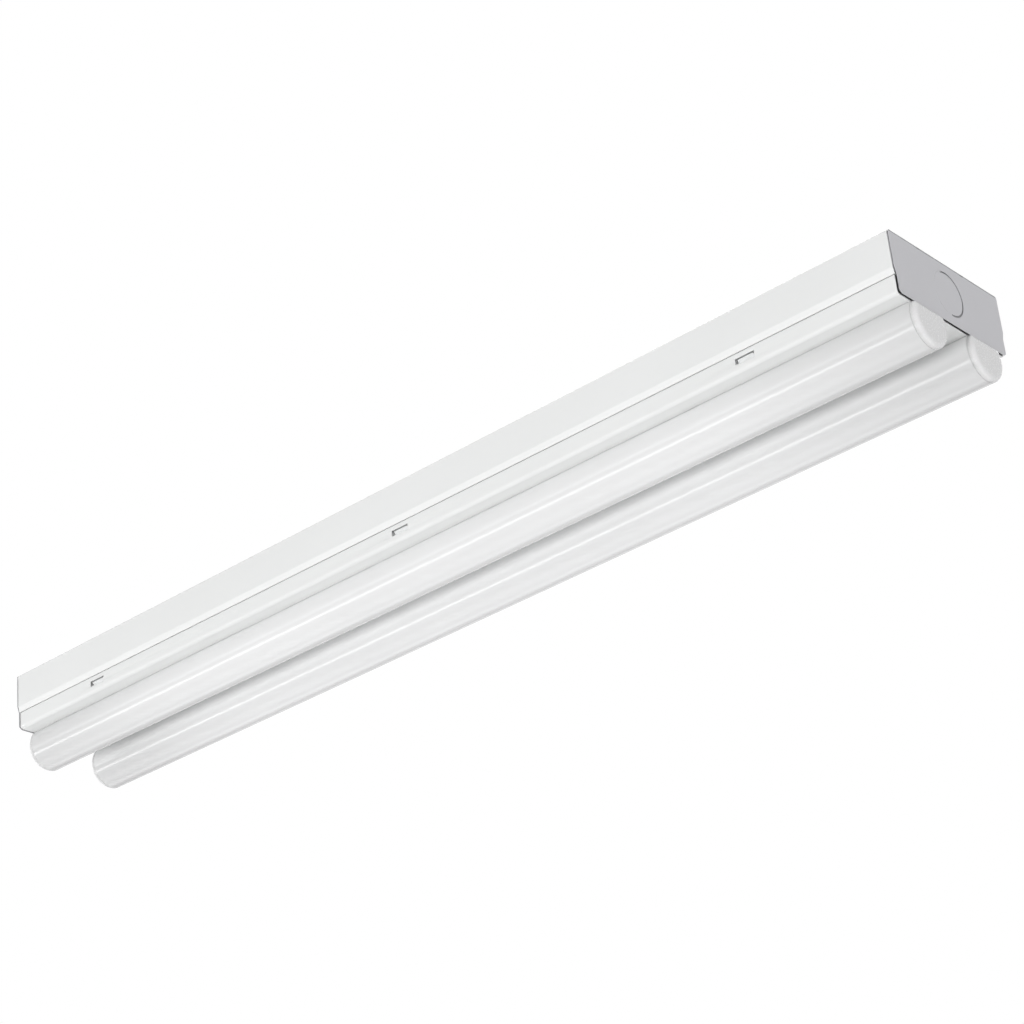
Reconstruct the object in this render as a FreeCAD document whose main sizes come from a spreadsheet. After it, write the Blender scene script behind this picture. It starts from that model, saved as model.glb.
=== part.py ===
import FreeCAD, Part
import math
import os
import Sketcher

# Twin-lens LED strip light, in millimetres.
# X runs along the light, the front side is -Y, +Z is up.
# The origin is the centre of the face that lies on the ceiling, so all of the light is below Z = 0.

SIZES = {
    # Whole light
    "fixture_length": 609.6,
    "channel_width": 90,
    "fixture_height": 33,
    "sheet_steel": 0.6,
    "cut_overrun": 0.5,
    # Channel housing
    "wall_height": 19.6,
    "lip_height": 3.2,
    "lip_inset": 0.8,
    "channel_bend_radius": 1.4,
    "ceiling_hole_radius": 3.5,
    "ceiling_hole_spacing": 381,
    "supply_hole_radius": 11.1,
    "supply_hole_distance": 90,
    # End plates
    "end_plate_thickness": 0.8,
    "end_plate_corner_across": 2.0,
    "end_plate_corner_up": 1.4,
    "top_tab_reach": 9,
    "top_tab_margin": 7.4,
    "side_tab_reach": 6,
    "side_tab_margin": 2,
    "knockout_radius": 11.2,
    "knockout_groove": 0.6,
    "knockout_score_depth": 0.3,
    "end_rivet_spread": 25,
    # Rivets
    "rivet_radius": 1.5,
    "rivet_head_radius": 2.8,
    "rivet_head_height": 1.0,
    "rivet_fit": 0.05,
    # Channel cover
    "cover_side_inset": 1.2,
    "cover_shoulder_gap": 0.7,
    "cover_shoulder_height": 0.6,
    "cover_shoulder_inset": 0.8,
    "cover_flange_rise": 8.8,
    "cover_corner_radius": 2.0,
    "cover_end_gap": 0.6,
    "slot_length": 11,
    "slot_height": 3.2,
    "slot_rise": 1.05,
    # Cover straps
    "strap_width": 16,
    "strap_clearance": 0.3,
    "strap_toe_height": 2.2,
    "strap_toe_inset": 0.8,
    "strap_toe_gap": 2.6,
    "strap_bend_radius": 1.0,
    "strap_rivet_margin": 12.1,
    "tongue_slit": 0.8,
    "tongue_rise": 0.6,
    "tongue_root": 1.4,
    # Lenses and their caps
    "lens_radius": 13,
    "lens_drop": 7.3,
    "lens_margin": 20.8,
    "lens_wall": 1.2,
    "lens_top_gap": 0.2,
    "foot_to_rail_gap": 0.2,
    "cap_stand_out": 1.8,
    "cap_band": 3.3,
    "cap_edge_radius": 2.5,
    "cap_plug": 6,
    "cap_wall": 1.4,
    "cap_fit": 0.05,
    "cap_rail_gap": 0.3,
    # Lens rails
    "rail_half_width": 6.8,
    "rail_lens_gap": 0.7,
    "rail_foot_gap": 0.4,
    # LED boards
    "board_rail_gap": 0.3,
    "board_thickness": 1.2,
    "board_end_margin": 2.5,
    "chip_pitch": 16.3,
    "chip_length": 3.5,
    "chip_width": 2.8,
    "chip_height": 0.7,
    "board_screw_radius": 1.45,
    "board_screw_head_radius": 2.6,
    "board_screw_head_height": 1.5,
    "board_screw_tip": 2,
    "board_screw_fit": 0.1,
    "connector_length": 8,
    "connector_width": 5,
    "connector_rise": 4,
    "connector_flange": 1.2,
    "connector_flange_height": 1.6,
    "connector_fit": 0.2,
    # LED driver
    "driver_centre": 95,
    "driver_length": 124,
    "driver_width": 34,
    "driver_height": 20,
    "driver_base_thickness": 0.8,
    "driver_wall": 0.7,
    "driver_ear": 10,
    "driver_screw_radius": 1.9,
    "driver_screw_head_radius": 3.6,
    "driver_screw_head_height": 2,
    "standoff_height": 3,
    "standoff_radius": 2,
    "standoff_inset": 6,
    "driver_board_thickness": 1.6,
    "driver_board_gap": 1.2,
    "transformer_length": 22,
    "transformer_width": 18,
    "transformer_height": 12,
    "transformer_coil_radius": 7.4,
    "transformer_core_leg": 4,
    "transformer_offset": 8,
    "capacitor_radius": 5,
    "capacitor_length": 18,
    "capacitor_offset": 30,
    "capacitor_spread": 6.5,
    "choke_radius": 6,
    "choke_height": 10,
    "choke_offset": 34,
    "terminal_length": 11,
    "input_terminal_width": 14,
    "output_terminal_width": 20,
    "terminal_height": 9,
    "terminal_overhang": 2,
    "terminal_notch_fit": 0.3,
    # Supply block
    "block_centre": 36,
    "block_length": 24,
    "block_width": 28,
    "block_height": 15,
    "block_pitch": 8,
    "block_hole_radius": 1.7,
    "block_hole_depth": 9,
    "clamp_screw_radius": 2.3,
    "clamp_screw_length": 4.7,
    "clamp_screw_room": 0.4,
    "clamp_screw_fit": 0.1,
    "clamp_screw_offset": 3,
    "screw_slot_width": 0.6,
    "screw_slot_depth": 0.8,
    "block_screw_radius": 1.5,
    "block_screw_head_radius": 2.6,
    "block_screw_head_height": 1.8,
    "block_screw_offset": 7,
    # Wires
    "mains_wire_radius": 1.1,
    "led_wire_radius": 0.8,
    "wire_exit": 10,
    "wire_depth": 8.4,
    "driver_wire_pitch": 5,
    "led_wire_pitch": 4,
    "led_wire_end_gap": 0.3,
    "led_wire_reach": 18,
    "ground_screw_along": 14.5,
    "ground_screw_inset": 6,
    "ground_screw_radius": 1.9,
    "ground_screw_head_radius": 3.4,
    "ground_screw_head_height": 2.4,
    "ring_radius": 4,
    "ring_thickness": 0.8,
    "ring_barrel_radius": 1.5,
    "ring_barrel_length": 7,
}

# Places of the three straps along the light, as shares of half its length
LEFT_STRAP_SHARE = -0.7766
MIDDLE_STRAP_SHARE = -0.0066
RIGHT_STRAP_SHARE = 0.7185
STRAP_SHARES = {"left": LEFT_STRAP_SHARE, "middle": MIDDLE_STRAP_SHARE, "right": RIGHT_STRAP_SHARE}
LENSES = ("front", "rear")
ENDS = ("left", "right")
# Board screws and connectors sit between two LEDs, counted in pitches
INNER_SCREW_PITCHES = 5
OUTER_SCREW_PITCHES_FROM_END = 2
KNOCKOUT_OPEN_DEGREES = 190
KNOCKOUT_START_DEGREES = -80
# A wire's bend takes this share of its shorter run
WIRE_BEND_SHARE = 0.45
# How far a tube's volume may be from its section times its length
WIRE_VOLUME_ERROR_SHARE = 0.02
# Edges this near a wanted place are the ones meant
EDGE_MATCH = 0.01


class Size:
    """A length together with the sheet formula that gives it, so that sums of lengths stay bound."""

    def __init__(self, value, formula):
        self.value = value
        self.formula = formula

    def __add__(self, other):
        other = as_size(other)
        return Size(self.value + other.value, f"({self.formula} + {other.formula})")

    def __sub__(self, other):
        other = as_size(other)
        return Size(self.value - other.value, f"({self.formula} - {other.formula})")

    def __mul__(self, factor):
        return Size(self.value * factor, f"({self.formula} * {factor})")

    def __truediv__(self, factor):
        return Size(self.value / factor, f"({self.formula} / {factor})")

    def __neg__(self):
        return self * -1

    __rmul__ = __mul__


def half_chord(radius, height):
    """Half the width of a circle at a height above its centre."""
    value = math.sqrt(radius.value ** 2 - height.value ** 2)
    return Size(value, f"sqrt({radius.formula}^2 - {height.formula}^2)")


def as_size(number):
    if isinstance(number, Size):
        return number
    return Size(number, str(number))


class Sheet:
    """The light's driving sizes: each attribute is a Size read from the spreadsheet."""

    def __init__(self, doc):
        self.sheet = doc.addObject("Spreadsheet::Sheet", "sizes")
        for row, (alias, value) in enumerate(SIZES.items(), start=1):
            self.sheet.set(f"A{row}", alias)
            self.sheet.set(f"B{row}", str(value))
            self.sheet.setAlias(f"B{row}", alias)
        doc.recompute()

    def __getattr__(self, alias):
        return Size(float(self.sheet.get(alias)), f"sizes.{alias}")


doc = FreeCAD.newDocument("strip_light")
S = Sheet(doc)

# Levels and lengths that several pieces share

ceiling_level = Size(0, "0")
half_width = S.channel_width / 2
inside_half_width = half_width - S.sheet_steel
lip_bottom = S.wall_height + S.lip_height
lip_half_width = half_width - S.lip_inset
channel_underside = -S.sheet_steel
end_plate_face = S.fixture_length / 2 - S.end_plate_thickness
cover_bottom = -S.fixture_height
cover_floor = cover_bottom + S.sheet_steel
cover_half_width = half_width - S.cover_side_inset
flange_half_width = cover_half_width - S.cover_shoulder_inset
cover_half_length = end_plate_face - S.cover_end_gap
shoulder_level = -(lip_bottom + S.cover_shoulder_gap)
slot_bottom = (shoulder_level + cover_bottom) / 2 + S.slot_rise - S.slot_height / 2
slot_top = slot_bottom + S.slot_height
strap_leg = flange_half_width - S.sheet_steel - S.strap_clearance
strap_rivet_line = strap_leg - S.strap_rivet_margin
lens_half_length = S.fixture_length / 2 + S.cap_stand_out
lens_body_half_length = lens_half_length - S.cap_band
lens_axis_level = cover_bottom - S.lens_drop
lens_top = cover_bottom - S.lens_top_gap
foot_bottom = lens_top - S.lens_wall
rail_flange_top = foot_bottom - S.foot_to_rail_gap
rail_flange_bottom = rail_flange_top - S.sheet_steel
rail_half_length = lens_body_half_length - S.cap_plug - S.cap_rail_gap
lens_inner_radius = S.lens_radius - S.lens_wall
rail_flange_half_width = half_chord(lens_inner_radius, rail_flange_top - lens_axis_level) - S.rail_lens_gap
board_half_length = rail_half_length - S.board_end_margin
board_half_width = S.rail_half_width - S.sheet_steel - S.board_rail_gap
board_top = cover_bottom - S.sheet_steel
board_bottom = board_top - S.board_thickness
driver_base_bottom = channel_underside - S.driver_base_thickness
driver_board_top = driver_base_bottom - S.standoff_height
driver_board_bottom = driver_board_top - S.driver_board_thickness
driver_can_bottom = driver_base_bottom - S.driver_height
driver_half_length = S.driver_length / 2
driver_half_width = S.driver_width / 2
driver_right_end = S.driver_centre + driver_half_length + S.terminal_overhang
connector_pitches = math.ceil((driver_right_end + S.led_wire_reach).value / S.chip_pitch.value)
connector_place = S.chip_pitch * connector_pitches
connector_top = cover_floor + S.connector_rise
chips_a_side = int((board_half_length - S.chip_length / 2).value / S.chip_pitch.value + 1 / 2)
wire_level = channel_underside - S.wire_depth


# Ways of making and placing solids

def bind(thing, place, size):
    """Set one property of an object from a size, bound to the sheet."""
    thing.setExpression(place, as_size(size).formula)


def set_place(thing, corner):
    for axis, size in zip("xyz", corner):
        bind(thing, f"Placement.Base.{axis}", size)
    return thing


def block(name, low, high):
    """A box between its lowest and highest corners."""
    thing = doc.addObject("Part::Box", name)
    for side, start, end in zip(("Length", "Width", "Height"), low, high):
        bind(thing, side, as_size(end) - start)
    return set_place(thing, low)


TURNS = {
    "+x": FreeCAD.Rotation(FreeCAD.Vector(0, 1, 0), 90),
    "+z": FreeCAD.Rotation(),
    "-z": FreeCAD.Rotation(FreeCAD.Vector(1, 0, 0), 180),
}


def rod(name, start, axis, radius, length):
    """A cylinder from a start point along one axis."""
    thing = doc.addObject("Part::Cylinder", name)
    thing.Placement = FreeCAD.Placement(FreeCAD.Vector(), TURNS[axis])
    bind(thing, "Radius", radius)
    bind(thing, "Height", length)
    return set_place(thing, start)


def fuse(name, pieces):
    thing = doc.addObject("Part::MultiFuse", name)
    thing.Shapes = pieces
    thing.Refine = True
    return thing


def group(name, pieces):
    """Separate solids kept together in one node."""
    thing = doc.addObject("Part::Compound", name)
    thing.Links = pieces
    return thing


def cut(name, base, tools):
    thing = doc.addObject("Part::Cut", name)
    thing.Base = base
    thing.Tool = tools[0] if len(tools) == 1 else group(f"{name}_cuts", tools)
    return thing


def common(name, first, second):
    thing = doc.addObject("Part::Common", name)
    thing.Base = first
    thing.Tool = second
    return thing


def new_body(name):
    return doc.addObject("PartDesign::Body", name)


def sketch_on(body, role, name):
    """A sketch on one of the body's own origin planes."""
    plane = next(item for item in body.Origin.OriginFeatures if item.Role == role)
    sketch = body.newObject("Sketcher::SketchObject", name)
    sketch.AttachmentSupport = [(plane, "")]
    sketch.MapMode = "FlatFace"
    return sketch


def pin_point(sketch, index, point, corner):
    """Hold one point of a sketch at a place measured from the origin."""
    for kind, size in zip(("DistanceX", "DistanceY"), corner):
        size = as_size(size)
        row = sketch.addConstraint(Sketcher.Constraint(kind, -1, 1, index, point, size.value))
        if size.value:
            bind(sketch, f"Constraints[{row}]", size)


def add_outline(sketch, corners):
    """A closed outline of straight lines, each corner bound to the sheet."""
    first = sketch.GeometryCount
    count = len(corners)
    points = [FreeCAD.Vector(as_size(x).value, as_size(y).value, 0) for x, y in corners]
    for index in range(count):
        sketch.addGeometry(Part.LineSegment(points[index], points[(index + 1) % count]))
    for index in range(count):
        following = first + (index + 1) % count
        sketch.addConstraint(Sketcher.Constraint("Coincident", first + index, 2, following, 1))
    for index, corner in enumerate(corners):
        pin_point(sketch, first + index, 1, corner)


def add_rectangle(sketch, low, high):
    add_outline(sketch, [low, (high[0], low[1]), high, (low[0], high[1])])


def add_circle(sketch, centre, radius):
    middle = FreeCAD.Vector(as_size(centre[0]).value, as_size(centre[1]).value, 0)
    index = sketch.addGeometry(Part.Circle(middle, FreeCAD.Vector(0, 0, 1), radius.value))
    row = sketch.addConstraint(Sketcher.Constraint("Radius", index, radius.value))
    bind(sketch, f"Constraints[{row}]", radius)
    pin_point(sketch, index, 3, centre)


def mirrored(right_side):
    """The corners of a symmetric outline, from those of its right side in order."""
    return right_side + [(-across, level) for across, level in reversed(right_side)]


def pad_both_ways(body, sketch, length):
    pad = body.newObject("PartDesign::Pad", f"{sketch.Name}_pad")
    pad.Profile = sketch
    pad.SideType = "Symmetric"
    bind(pad, "Length", length)
    doc.recompute()
    return pad


def pocket_both_ways(body, sketch, length):
    """Cut a sketch's outlines through the body, to both sides of the sketch's plane."""
    before = body.Shape.Volume
    pocket = body.newObject("PartDesign::Pocket", f"{sketch.Name}_pocket")
    pocket.Profile = sketch
    pocket.SideType = "Symmetric"
    bind(pocket, "Length", length)
    doc.recompute()
    if not body.Shape.Volume < before:
        raise ValueError(f"{sketch.Name} cuts nothing")
    return pocket


def round_bends(body, base, radius, places):
    """Round the edges that run along X at the given places of the cross-section."""
    names = []
    for number, edge in enumerate(base.Shape.Edges, start=1):
        low, high = edge.BoundBox.YMin, edge.BoundBox.YMax
        if high - low > EDGE_MATCH or edge.BoundBox.ZLength > EDGE_MATCH:
            continue
        for across, level in places:
            apart = max(abs(low - across.value), abs(edge.BoundBox.ZMin - level.value))
            if apart < EDGE_MATCH:
                names.append(f"Edge{number}")
    fillet = body.newObject("PartDesign::Fillet", f"{body.Name}_bend")
    fillet.Base = (base, names)
    bind(fillet, "Radius", radius)
    doc.recompute()
    return fillet


def way(name):
    """-1 towards the front or the left, 1 towards the rear or the right."""
    return 1 if name in ("rear", "right") else -1


def both_sides(across, level):
    return [(across, level), (-across, level)]


# Channel, end plates and straps

def make_channel_housing():
    """A folded channel, open below, whose lower edges turn in as lips."""
    body = new_body("channel_housing")
    profile = sketch_on(body, "YZ_Plane", "channel_section")
    add_outline(profile, mirrored([
        (inside_half_width, channel_underside),
        (inside_half_width, -S.wall_height),
        (lip_half_width - S.sheet_steel, -lip_bottom),
        (lip_half_width, -lip_bottom),
        (half_width, -S.wall_height),
        (half_width, ceiling_level),
    ]))
    pad = pad_both_ways(body, profile, end_plate_face * 2)
    outer = round_bends(body, pad, S.channel_bend_radius, both_sides(half_width, ceiling_level))
    round_bends(body, outer, S.channel_bend_radius - S.sheet_steel,
                both_sides(inside_half_width, channel_underside))
    holes = sketch_on(body, "XY_Plane", "channel_holes")
    for side in (-1, 1):
        add_circle(holes, (S.ceiling_hole_spacing / 2 * side, 0), S.ceiling_hole_radius)
    add_circle(holes, (-S.supply_hole_distance, 0), S.supply_hole_radius)
    for x, y in rivet_places():
        add_circle(holes, (x, y), S.rivet_radius + S.rivet_fit)
    for x, y, radius in root_screw_places():
        add_circle(holes, (x, y), radius)
    pocket_both_ways(body, holes, (S.sheet_steel + S.cut_overrun) * 2)
    return body


def strap_place(name):
    return S.fixture_length / 2 * STRAP_SHARES[name]


def end_rivet_place(side):
    return (end_plate_face - S.top_tab_reach / 2) * side


def end_rivet_places():
    return [(end_rivet_place(end), S.end_rivet_spread * across)
            for end in map(way, ENDS) for across in (-1, 1)]


def strap_rivet_places():
    return [(strap_place(name), strap_rivet_line * across)
            for name in STRAP_SHARES for across in (-1, 1)]


def rivet_places():
    return end_rivet_places() + strap_rivet_places()


def driver_screw_places():
    reach = driver_half_length + S.driver_ear / 2
    return [(S.driver_centre + reach * side, as_size(0)) for side in (-1, 1)]


def block_screw_place():
    return (-S.block_centre + S.block_screw_offset, S.block_pitch / 2)


def root_screw_places():
    """Where screws enter the channel's top, with the radius of each hole."""
    places = [(x, y, S.driver_screw_radius) for x, y in driver_screw_places()]
    places.append((*block_screw_place(), S.block_screw_radius))
    places.append((*ground_place(), S.ground_screw_radius))
    return places


def rivet(name, place, joined_bottom):
    """A flush rivet: its shank ends level with the ceiling face, its head is inside."""
    x, y = place
    shank = rod(f"{name}_shank", (x, y, joined_bottom), "+z", S.rivet_radius, -joined_bottom)
    head = rod(f"{name}_head", (x, y, joined_bottom), "-z", S.rivet_head_radius, S.rivet_head_height)
    return fuse(name, [shank, head])


def rivets(name, places, joined_bottom):
    pieces = [rivet(f"{name}_{number}", place, joined_bottom) for number, place in enumerate(places, start=1)]
    return group(name, pieces)


def make_end_rivets():
    return rivets("end_plate_rivets", end_rivet_places(), channel_underside - S.end_plate_thickness)


def make_strap_rivets():
    return rivets("strap_rivets", strap_rivet_places(), channel_underside - S.sheet_steel)


def knockout_groove(name, start, depth, degrees):
    """A ring, or part of one, that outlines the knockout."""
    outer = rod(f"{name}_outer", start, "+x", S.knockout_radius + S.knockout_groove / 2, depth)
    inner = rod(f"{name}_inner", start, "+x", S.knockout_radius - S.knockout_groove / 2, depth)
    if degrees:
        outer.Angle = degrees
        from_upright = FreeCAD.Rotation(FreeCAD.Vector(0, 0, 1), 90)
        turned = FreeCAD.Rotation(FreeCAD.Vector(1, 0, 0), KNOCKOUT_START_DEGREES).multiply(TURNS["+x"])
        outer.Placement = FreeCAD.Placement(outer.Placement.Base, turned.multiply(from_upright))
    return cut(name, outer, [inner])


def make_end_plate(name):
    """A plate across the channel's end, with tabs bent in under its top and along its sides."""
    end = way(name)
    label = f"end_plate_{name}"
    body = new_body(f"{label}_sheet")
    outline = sketch_on(body, "YZ_Plane", f"{label}_outline")
    add_outline(outline, mirrored([
        (cover_half_width - S.end_plate_corner_across, cover_bottom),
        (cover_half_width, cover_bottom + S.end_plate_corner_up),
        (cover_half_width, shoulder_level),
        (half_width, -S.wall_height),
        (half_width, ceiling_level),
    ]))
    pad = pad_both_ways(body, outline, S.end_plate_thickness)
    round_bends(body, pad, S.channel_bend_radius, both_sides(half_width, ceiling_level))
    bind(body, "Placement.Base.x", (end_plate_face + S.end_plate_thickness / 2) * end)
    tabs = [tab(label, end)] + [side_tab(label, end, across) for across in (-1, 1)]
    outer_face = S.fixture_length / 2 * end
    # Both grooves are made along +X, so the left plate's start on its own outer side
    score_start = outer_face - S.knockout_score_depth if end > 0 else outer_face - S.cut_overrun
    slit_start = outer_face - S.end_plate_thickness - S.cut_overrun if end > 0 else outer_face - S.cut_overrun
    centre = cover_bottom / 2
    score = knockout_groove(f"{label}_score", (score_start, 0, centre),
                            S.knockout_score_depth + S.cut_overrun, 0)
    slit = knockout_groove(f"{label}_slit", (slit_start, 0, centre),
                           S.end_plate_thickness + S.cut_overrun * 2, KNOCKOUT_OPEN_DEGREES)
    plate = fuse(f"{label}_folded", [body] + tabs)
    holes = [rod(f"{label}_hole_{number}", (x, y, 0), "-z", S.rivet_radius + S.rivet_fit,
                 S.sheet_steel + S.end_plate_thickness + S.cut_overrun)
             for number, (x, y) in enumerate(end_rivet_places()) if x.value * end > 0]
    return cut(label, plate, [score, slit] + holes)


def span_along(start, reach, end):
    """The low and high X of a stretch that starts at a plate and goes in towards the middle."""
    inner = start - reach
    return (inner, start) if end > 0 else (-start, -inner)


def tab(label, end):
    """The tab under the channel's top."""
    low, high = span_along(end_plate_face, S.top_tab_reach, end)
    across = inside_half_width - S.top_tab_margin
    return block(f"{label}_top_tab", (low, -across, channel_underside - S.end_plate_thickness),
                 (high, across, channel_underside))


def side_tab(label, end, across):
    """A tab against one wall of the channel."""
    low, high = span_along(end_plate_face, S.side_tab_reach, end)
    name = "rear" if across > 0 else "front"
    outer = inside_half_width * across
    inner = (inside_half_width - S.end_plate_thickness) * across
    near, far = (inner, outer) if across > 0 else (outer, inner)
    return block(f"{label}_{name}_tab", (low, near, S.side_tab_margin - S.wall_height),
                 (high, far, -S.side_tab_margin))


def make_strap(name):
    """A spring-steel strap across the channel, with a leg and a tongue behind each cover slot."""
    body = new_body(f"cover_strap_{name}")
    leg = strap_leg
    knee = cover_floor + S.strap_toe_gap + S.strap_toe_height
    toe = cover_floor + S.strap_toe_gap
    profile = sketch_on(body, "YZ_Plane", f"strap_{name}_section")
    add_outline(profile, mirrored([
        (leg - S.sheet_steel, channel_underside - S.sheet_steel),
        (leg - S.sheet_steel, knee),
        (leg - S.sheet_steel - S.strap_toe_inset, toe),
        (leg - S.strap_toe_inset, toe),
        (leg, knee),
        (leg, channel_underside),
    ]))
    pad = pad_both_ways(body, profile, S.strap_width)
    round_bends(body, pad, S.strap_bend_radius, both_sides(leg, channel_underside))
    slit_half = S.slot_length / 2
    tongue_half = slit_half - S.tongue_slit
    slit_top = slot_top + S.tongue_rise
    tongue_top = slit_top - S.tongue_slit
    slit_bottom = toe + S.tongue_root
    slits = sketch_on(body, "XZ_Plane", f"strap_{name}_slits")
    add_outline(slits, mirrored([
        (tongue_half, tongue_top),
        (tongue_half, slit_bottom),
        (slit_half, slit_bottom),
        (slit_half, slit_top),
    ]))
    pocket_both_ways(body, slits, S.channel_width)
    holes = sketch_on(body, "XY_Plane", f"strap_{name}_holes")
    for across in (-1, 1):
        add_circle(holes, (0, strap_rivet_line * across), S.rivet_radius + S.rivet_fit)
    pocket_both_ways(body, holes, (S.sheet_steel * 2 + S.cut_overrun) * 2)
    bind(body, "Placement.Base.x", strap_place(name))
    return body


# Cover, rails and LED boards

def board_screw_places():
    outer = chips_a_side - OUTER_SCREW_PITCHES_FROM_END
    return [(S.chip_pitch * pitches, lens_centre(side)) for side in map(way, LENSES)
            for pitches in (-outer, -INNER_SCREW_PITCHES, INNER_SCREW_PITCHES, outer)]


def lens_centre(side):
    return (cover_half_width - S.lens_margin) * side


def make_channel_cover():
    """The cover: a folded tray whose stepped flanges go up inside the channel's lips."""
    body = new_body("channel_cover")
    inner_flange = flange_half_width - S.sheet_steel
    inner_side = cover_half_width - S.sheet_steel
    step_top = shoulder_level + S.cover_shoulder_height
    inner_shift = S.sheet_steel / 2
    flange_top = S.cover_flange_rise - lip_bottom
    profile = sketch_on(body, "YZ_Plane", "cover_section")
    add_outline(profile, mirrored([
        (cover_half_width, cover_bottom),
        (cover_half_width, shoulder_level),
        (flange_half_width, step_top),
        (flange_half_width, flange_top),
        (inner_flange, flange_top),
        (inner_flange, step_top + inner_shift),
        (inner_side, shoulder_level + inner_shift),
        (inner_side, cover_floor),
    ]))
    pad = pad_both_ways(body, profile, cover_half_length * 2)
    outer = round_bends(body, pad, S.cover_corner_radius, both_sides(cover_half_width, cover_bottom))
    round_bends(body, outer, S.cover_corner_radius - S.sheet_steel, both_sides(inner_side, cover_floor))
    slots = sketch_on(body, "XZ_Plane", "cover_slots")
    for name in STRAP_SHARES:
        left = strap_place(name) - S.slot_length / 2
        add_rectangle(slots, (left, slot_bottom), (left + S.slot_length, slot_top))
    pocket_both_ways(body, slots, S.channel_width)
    holes = sketch_on(body, "XY_Plane", "cover_holes")
    for x, y in board_screw_places():
        add_circle(holes, (x, y), S.board_screw_radius + S.board_screw_fit)
    for side in map(way, LENSES):
        add_connector_hole(holes, lens_centre(side))
    pocket_both_ways(body, holes, (S.fixture_height + S.cut_overrun) * 2)
    return body


def add_connector_hole(sketch, across):
    reach = S.connector_length / 2 + S.connector_fit
    half = S.connector_width / 2 + S.connector_fit
    add_rectangle(sketch, (connector_place - reach, across - half), (connector_place + reach, across + half))


def make_lens_rail(name):
    """A hat-section rail on the cover's underside: the lens hangs on its two flanges."""
    across = lens_centre(way(name))
    body = new_body(f"lens_rail_{name}")
    half = S.rail_half_width
    flange = rail_flange_half_width
    right = [
        (half - S.sheet_steel, board_top),
        (half - S.sheet_steel, rail_flange_bottom),
        (flange, rail_flange_bottom),
        (flange, rail_flange_top),
        (half, rail_flange_top),
        (half, cover_bottom),
    ]
    profile = sketch_on(body, "YZ_Plane", f"rail_{name}_section")
    add_outline(profile, [(across + reach, level) for reach, level in mirrored(right)])
    pad_both_ways(body, profile, rail_half_length * 2)
    holes = sketch_on(body, "XY_Plane", f"rail_{name}_holes")
    for x, y in board_screw_places():
        if y.value == across.value:
            add_circle(holes, (x, y), S.board_screw_radius + S.board_screw_fit)
    add_connector_hole(holes, across)
    pocket_both_ways(body, holes, (S.fixture_height + S.sheet_steel + S.cut_overrun) * 2)
    return body


def make_led_board(name):
    """The board that carries the LEDs, held up against the rail's floor."""
    across = lens_centre(way(name))
    label = f"led_board_{name}"
    plate = block(f"{label}_plate", (-board_half_length, across - board_half_width, board_bottom),
                  (board_half_length, across + board_half_width, board_top))
    depth = S.board_thickness + S.cut_overrun * 2
    holes = [rod(f"{label}_hole_{number}", (x, y, board_bottom - S.cut_overrun), "+z",
                 S.board_screw_radius + S.board_screw_fit, depth)
             for number, (x, y) in enumerate(board_screw_places()) if y.value == across.value]
    reach = S.connector_length / 2 + S.connector_fit
    half = S.connector_width / 2 + S.connector_fit
    opening = block(f"{label}_opening",
                    (connector_place - reach, across - half, board_bottom - S.cut_overrun),
                    (connector_place + reach, across + half, board_top + S.cut_overrun))
    return cut(label, plate, holes + [opening])


def make_led_chips(name):
    """The LEDs, one pitch apart in a single row."""
    across = lens_centre(way(name))
    label = f"led_chips_{name}"
    chips = []
    for number in range(chips_a_side * 2):
        middle = S.chip_pitch * (number + 1 / 2 - chips_a_side)
        low = (middle - S.chip_length / 2, across - S.chip_width / 2, board_bottom - S.chip_height)
        high = (middle + S.chip_length / 2, across + S.chip_width / 2, board_bottom)
        chips.append(block(f"{label}_{number}", low, high))
    return group(label, chips)


def make_board_connector(name):
    """A connector that sits on the board and rises through the rail and cover to meet the wires."""
    across = lens_centre(way(name))
    label = f"board_connector_{name}"
    reach = S.connector_length / 2
    half = S.connector_width / 2
    stem = block(f"{label}_stem", (connector_place - reach, across - half, board_bottom),
                 (connector_place + reach, across + half, connector_top))
    rim = S.connector_flange
    foot_level = board_bottom - S.connector_flange_height
    foot = block(f"{label}_foot", (connector_place - reach - rim, across - half - rim, foot_level),
                 (connector_place + reach + rim, across + half + rim, board_bottom))
    return fuse(label, [stem, foot])


def make_board_screws():
    """Screws that hold each board and rail to the cover, their heads below the board."""
    screws = []
    tip = cover_floor + S.board_screw_tip
    for number, (x, y) in enumerate(board_screw_places(), start=1):
        name = f"board_screws_{number}"
        shank = rod(f"{name}_shank", (x, y, board_bottom), "+z", S.board_screw_radius, tip - board_bottom)
        head = rod(f"{name}_head", (x, y, board_bottom), "-z", S.board_screw_head_radius,
                   S.board_screw_head_height)
        screws.append(fuse(name, [shank, head]))
    return group("board_screws", screws)


# Lenses and caps

def lens_cylinder(name, side, radius, low, high):
    return rod(name, (low, lens_centre(side), lens_axis_level), "+x", radius, high - low)


def below(name, shape, side, level, low, high):
    """What is left of a lens-sized solid below a level."""
    reach = S.lens_radius + S.cut_overrun
    box = block(f"{name}_below", (low - S.cut_overrun, lens_centre(side) - reach, lens_axis_level - reach),
                (high + S.cut_overrun, lens_centre(side) + reach, level))
    return common(name, shape, box)


def in_order(first, last):
    return (first, last) if first.value < last.value else (last, first)


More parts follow.
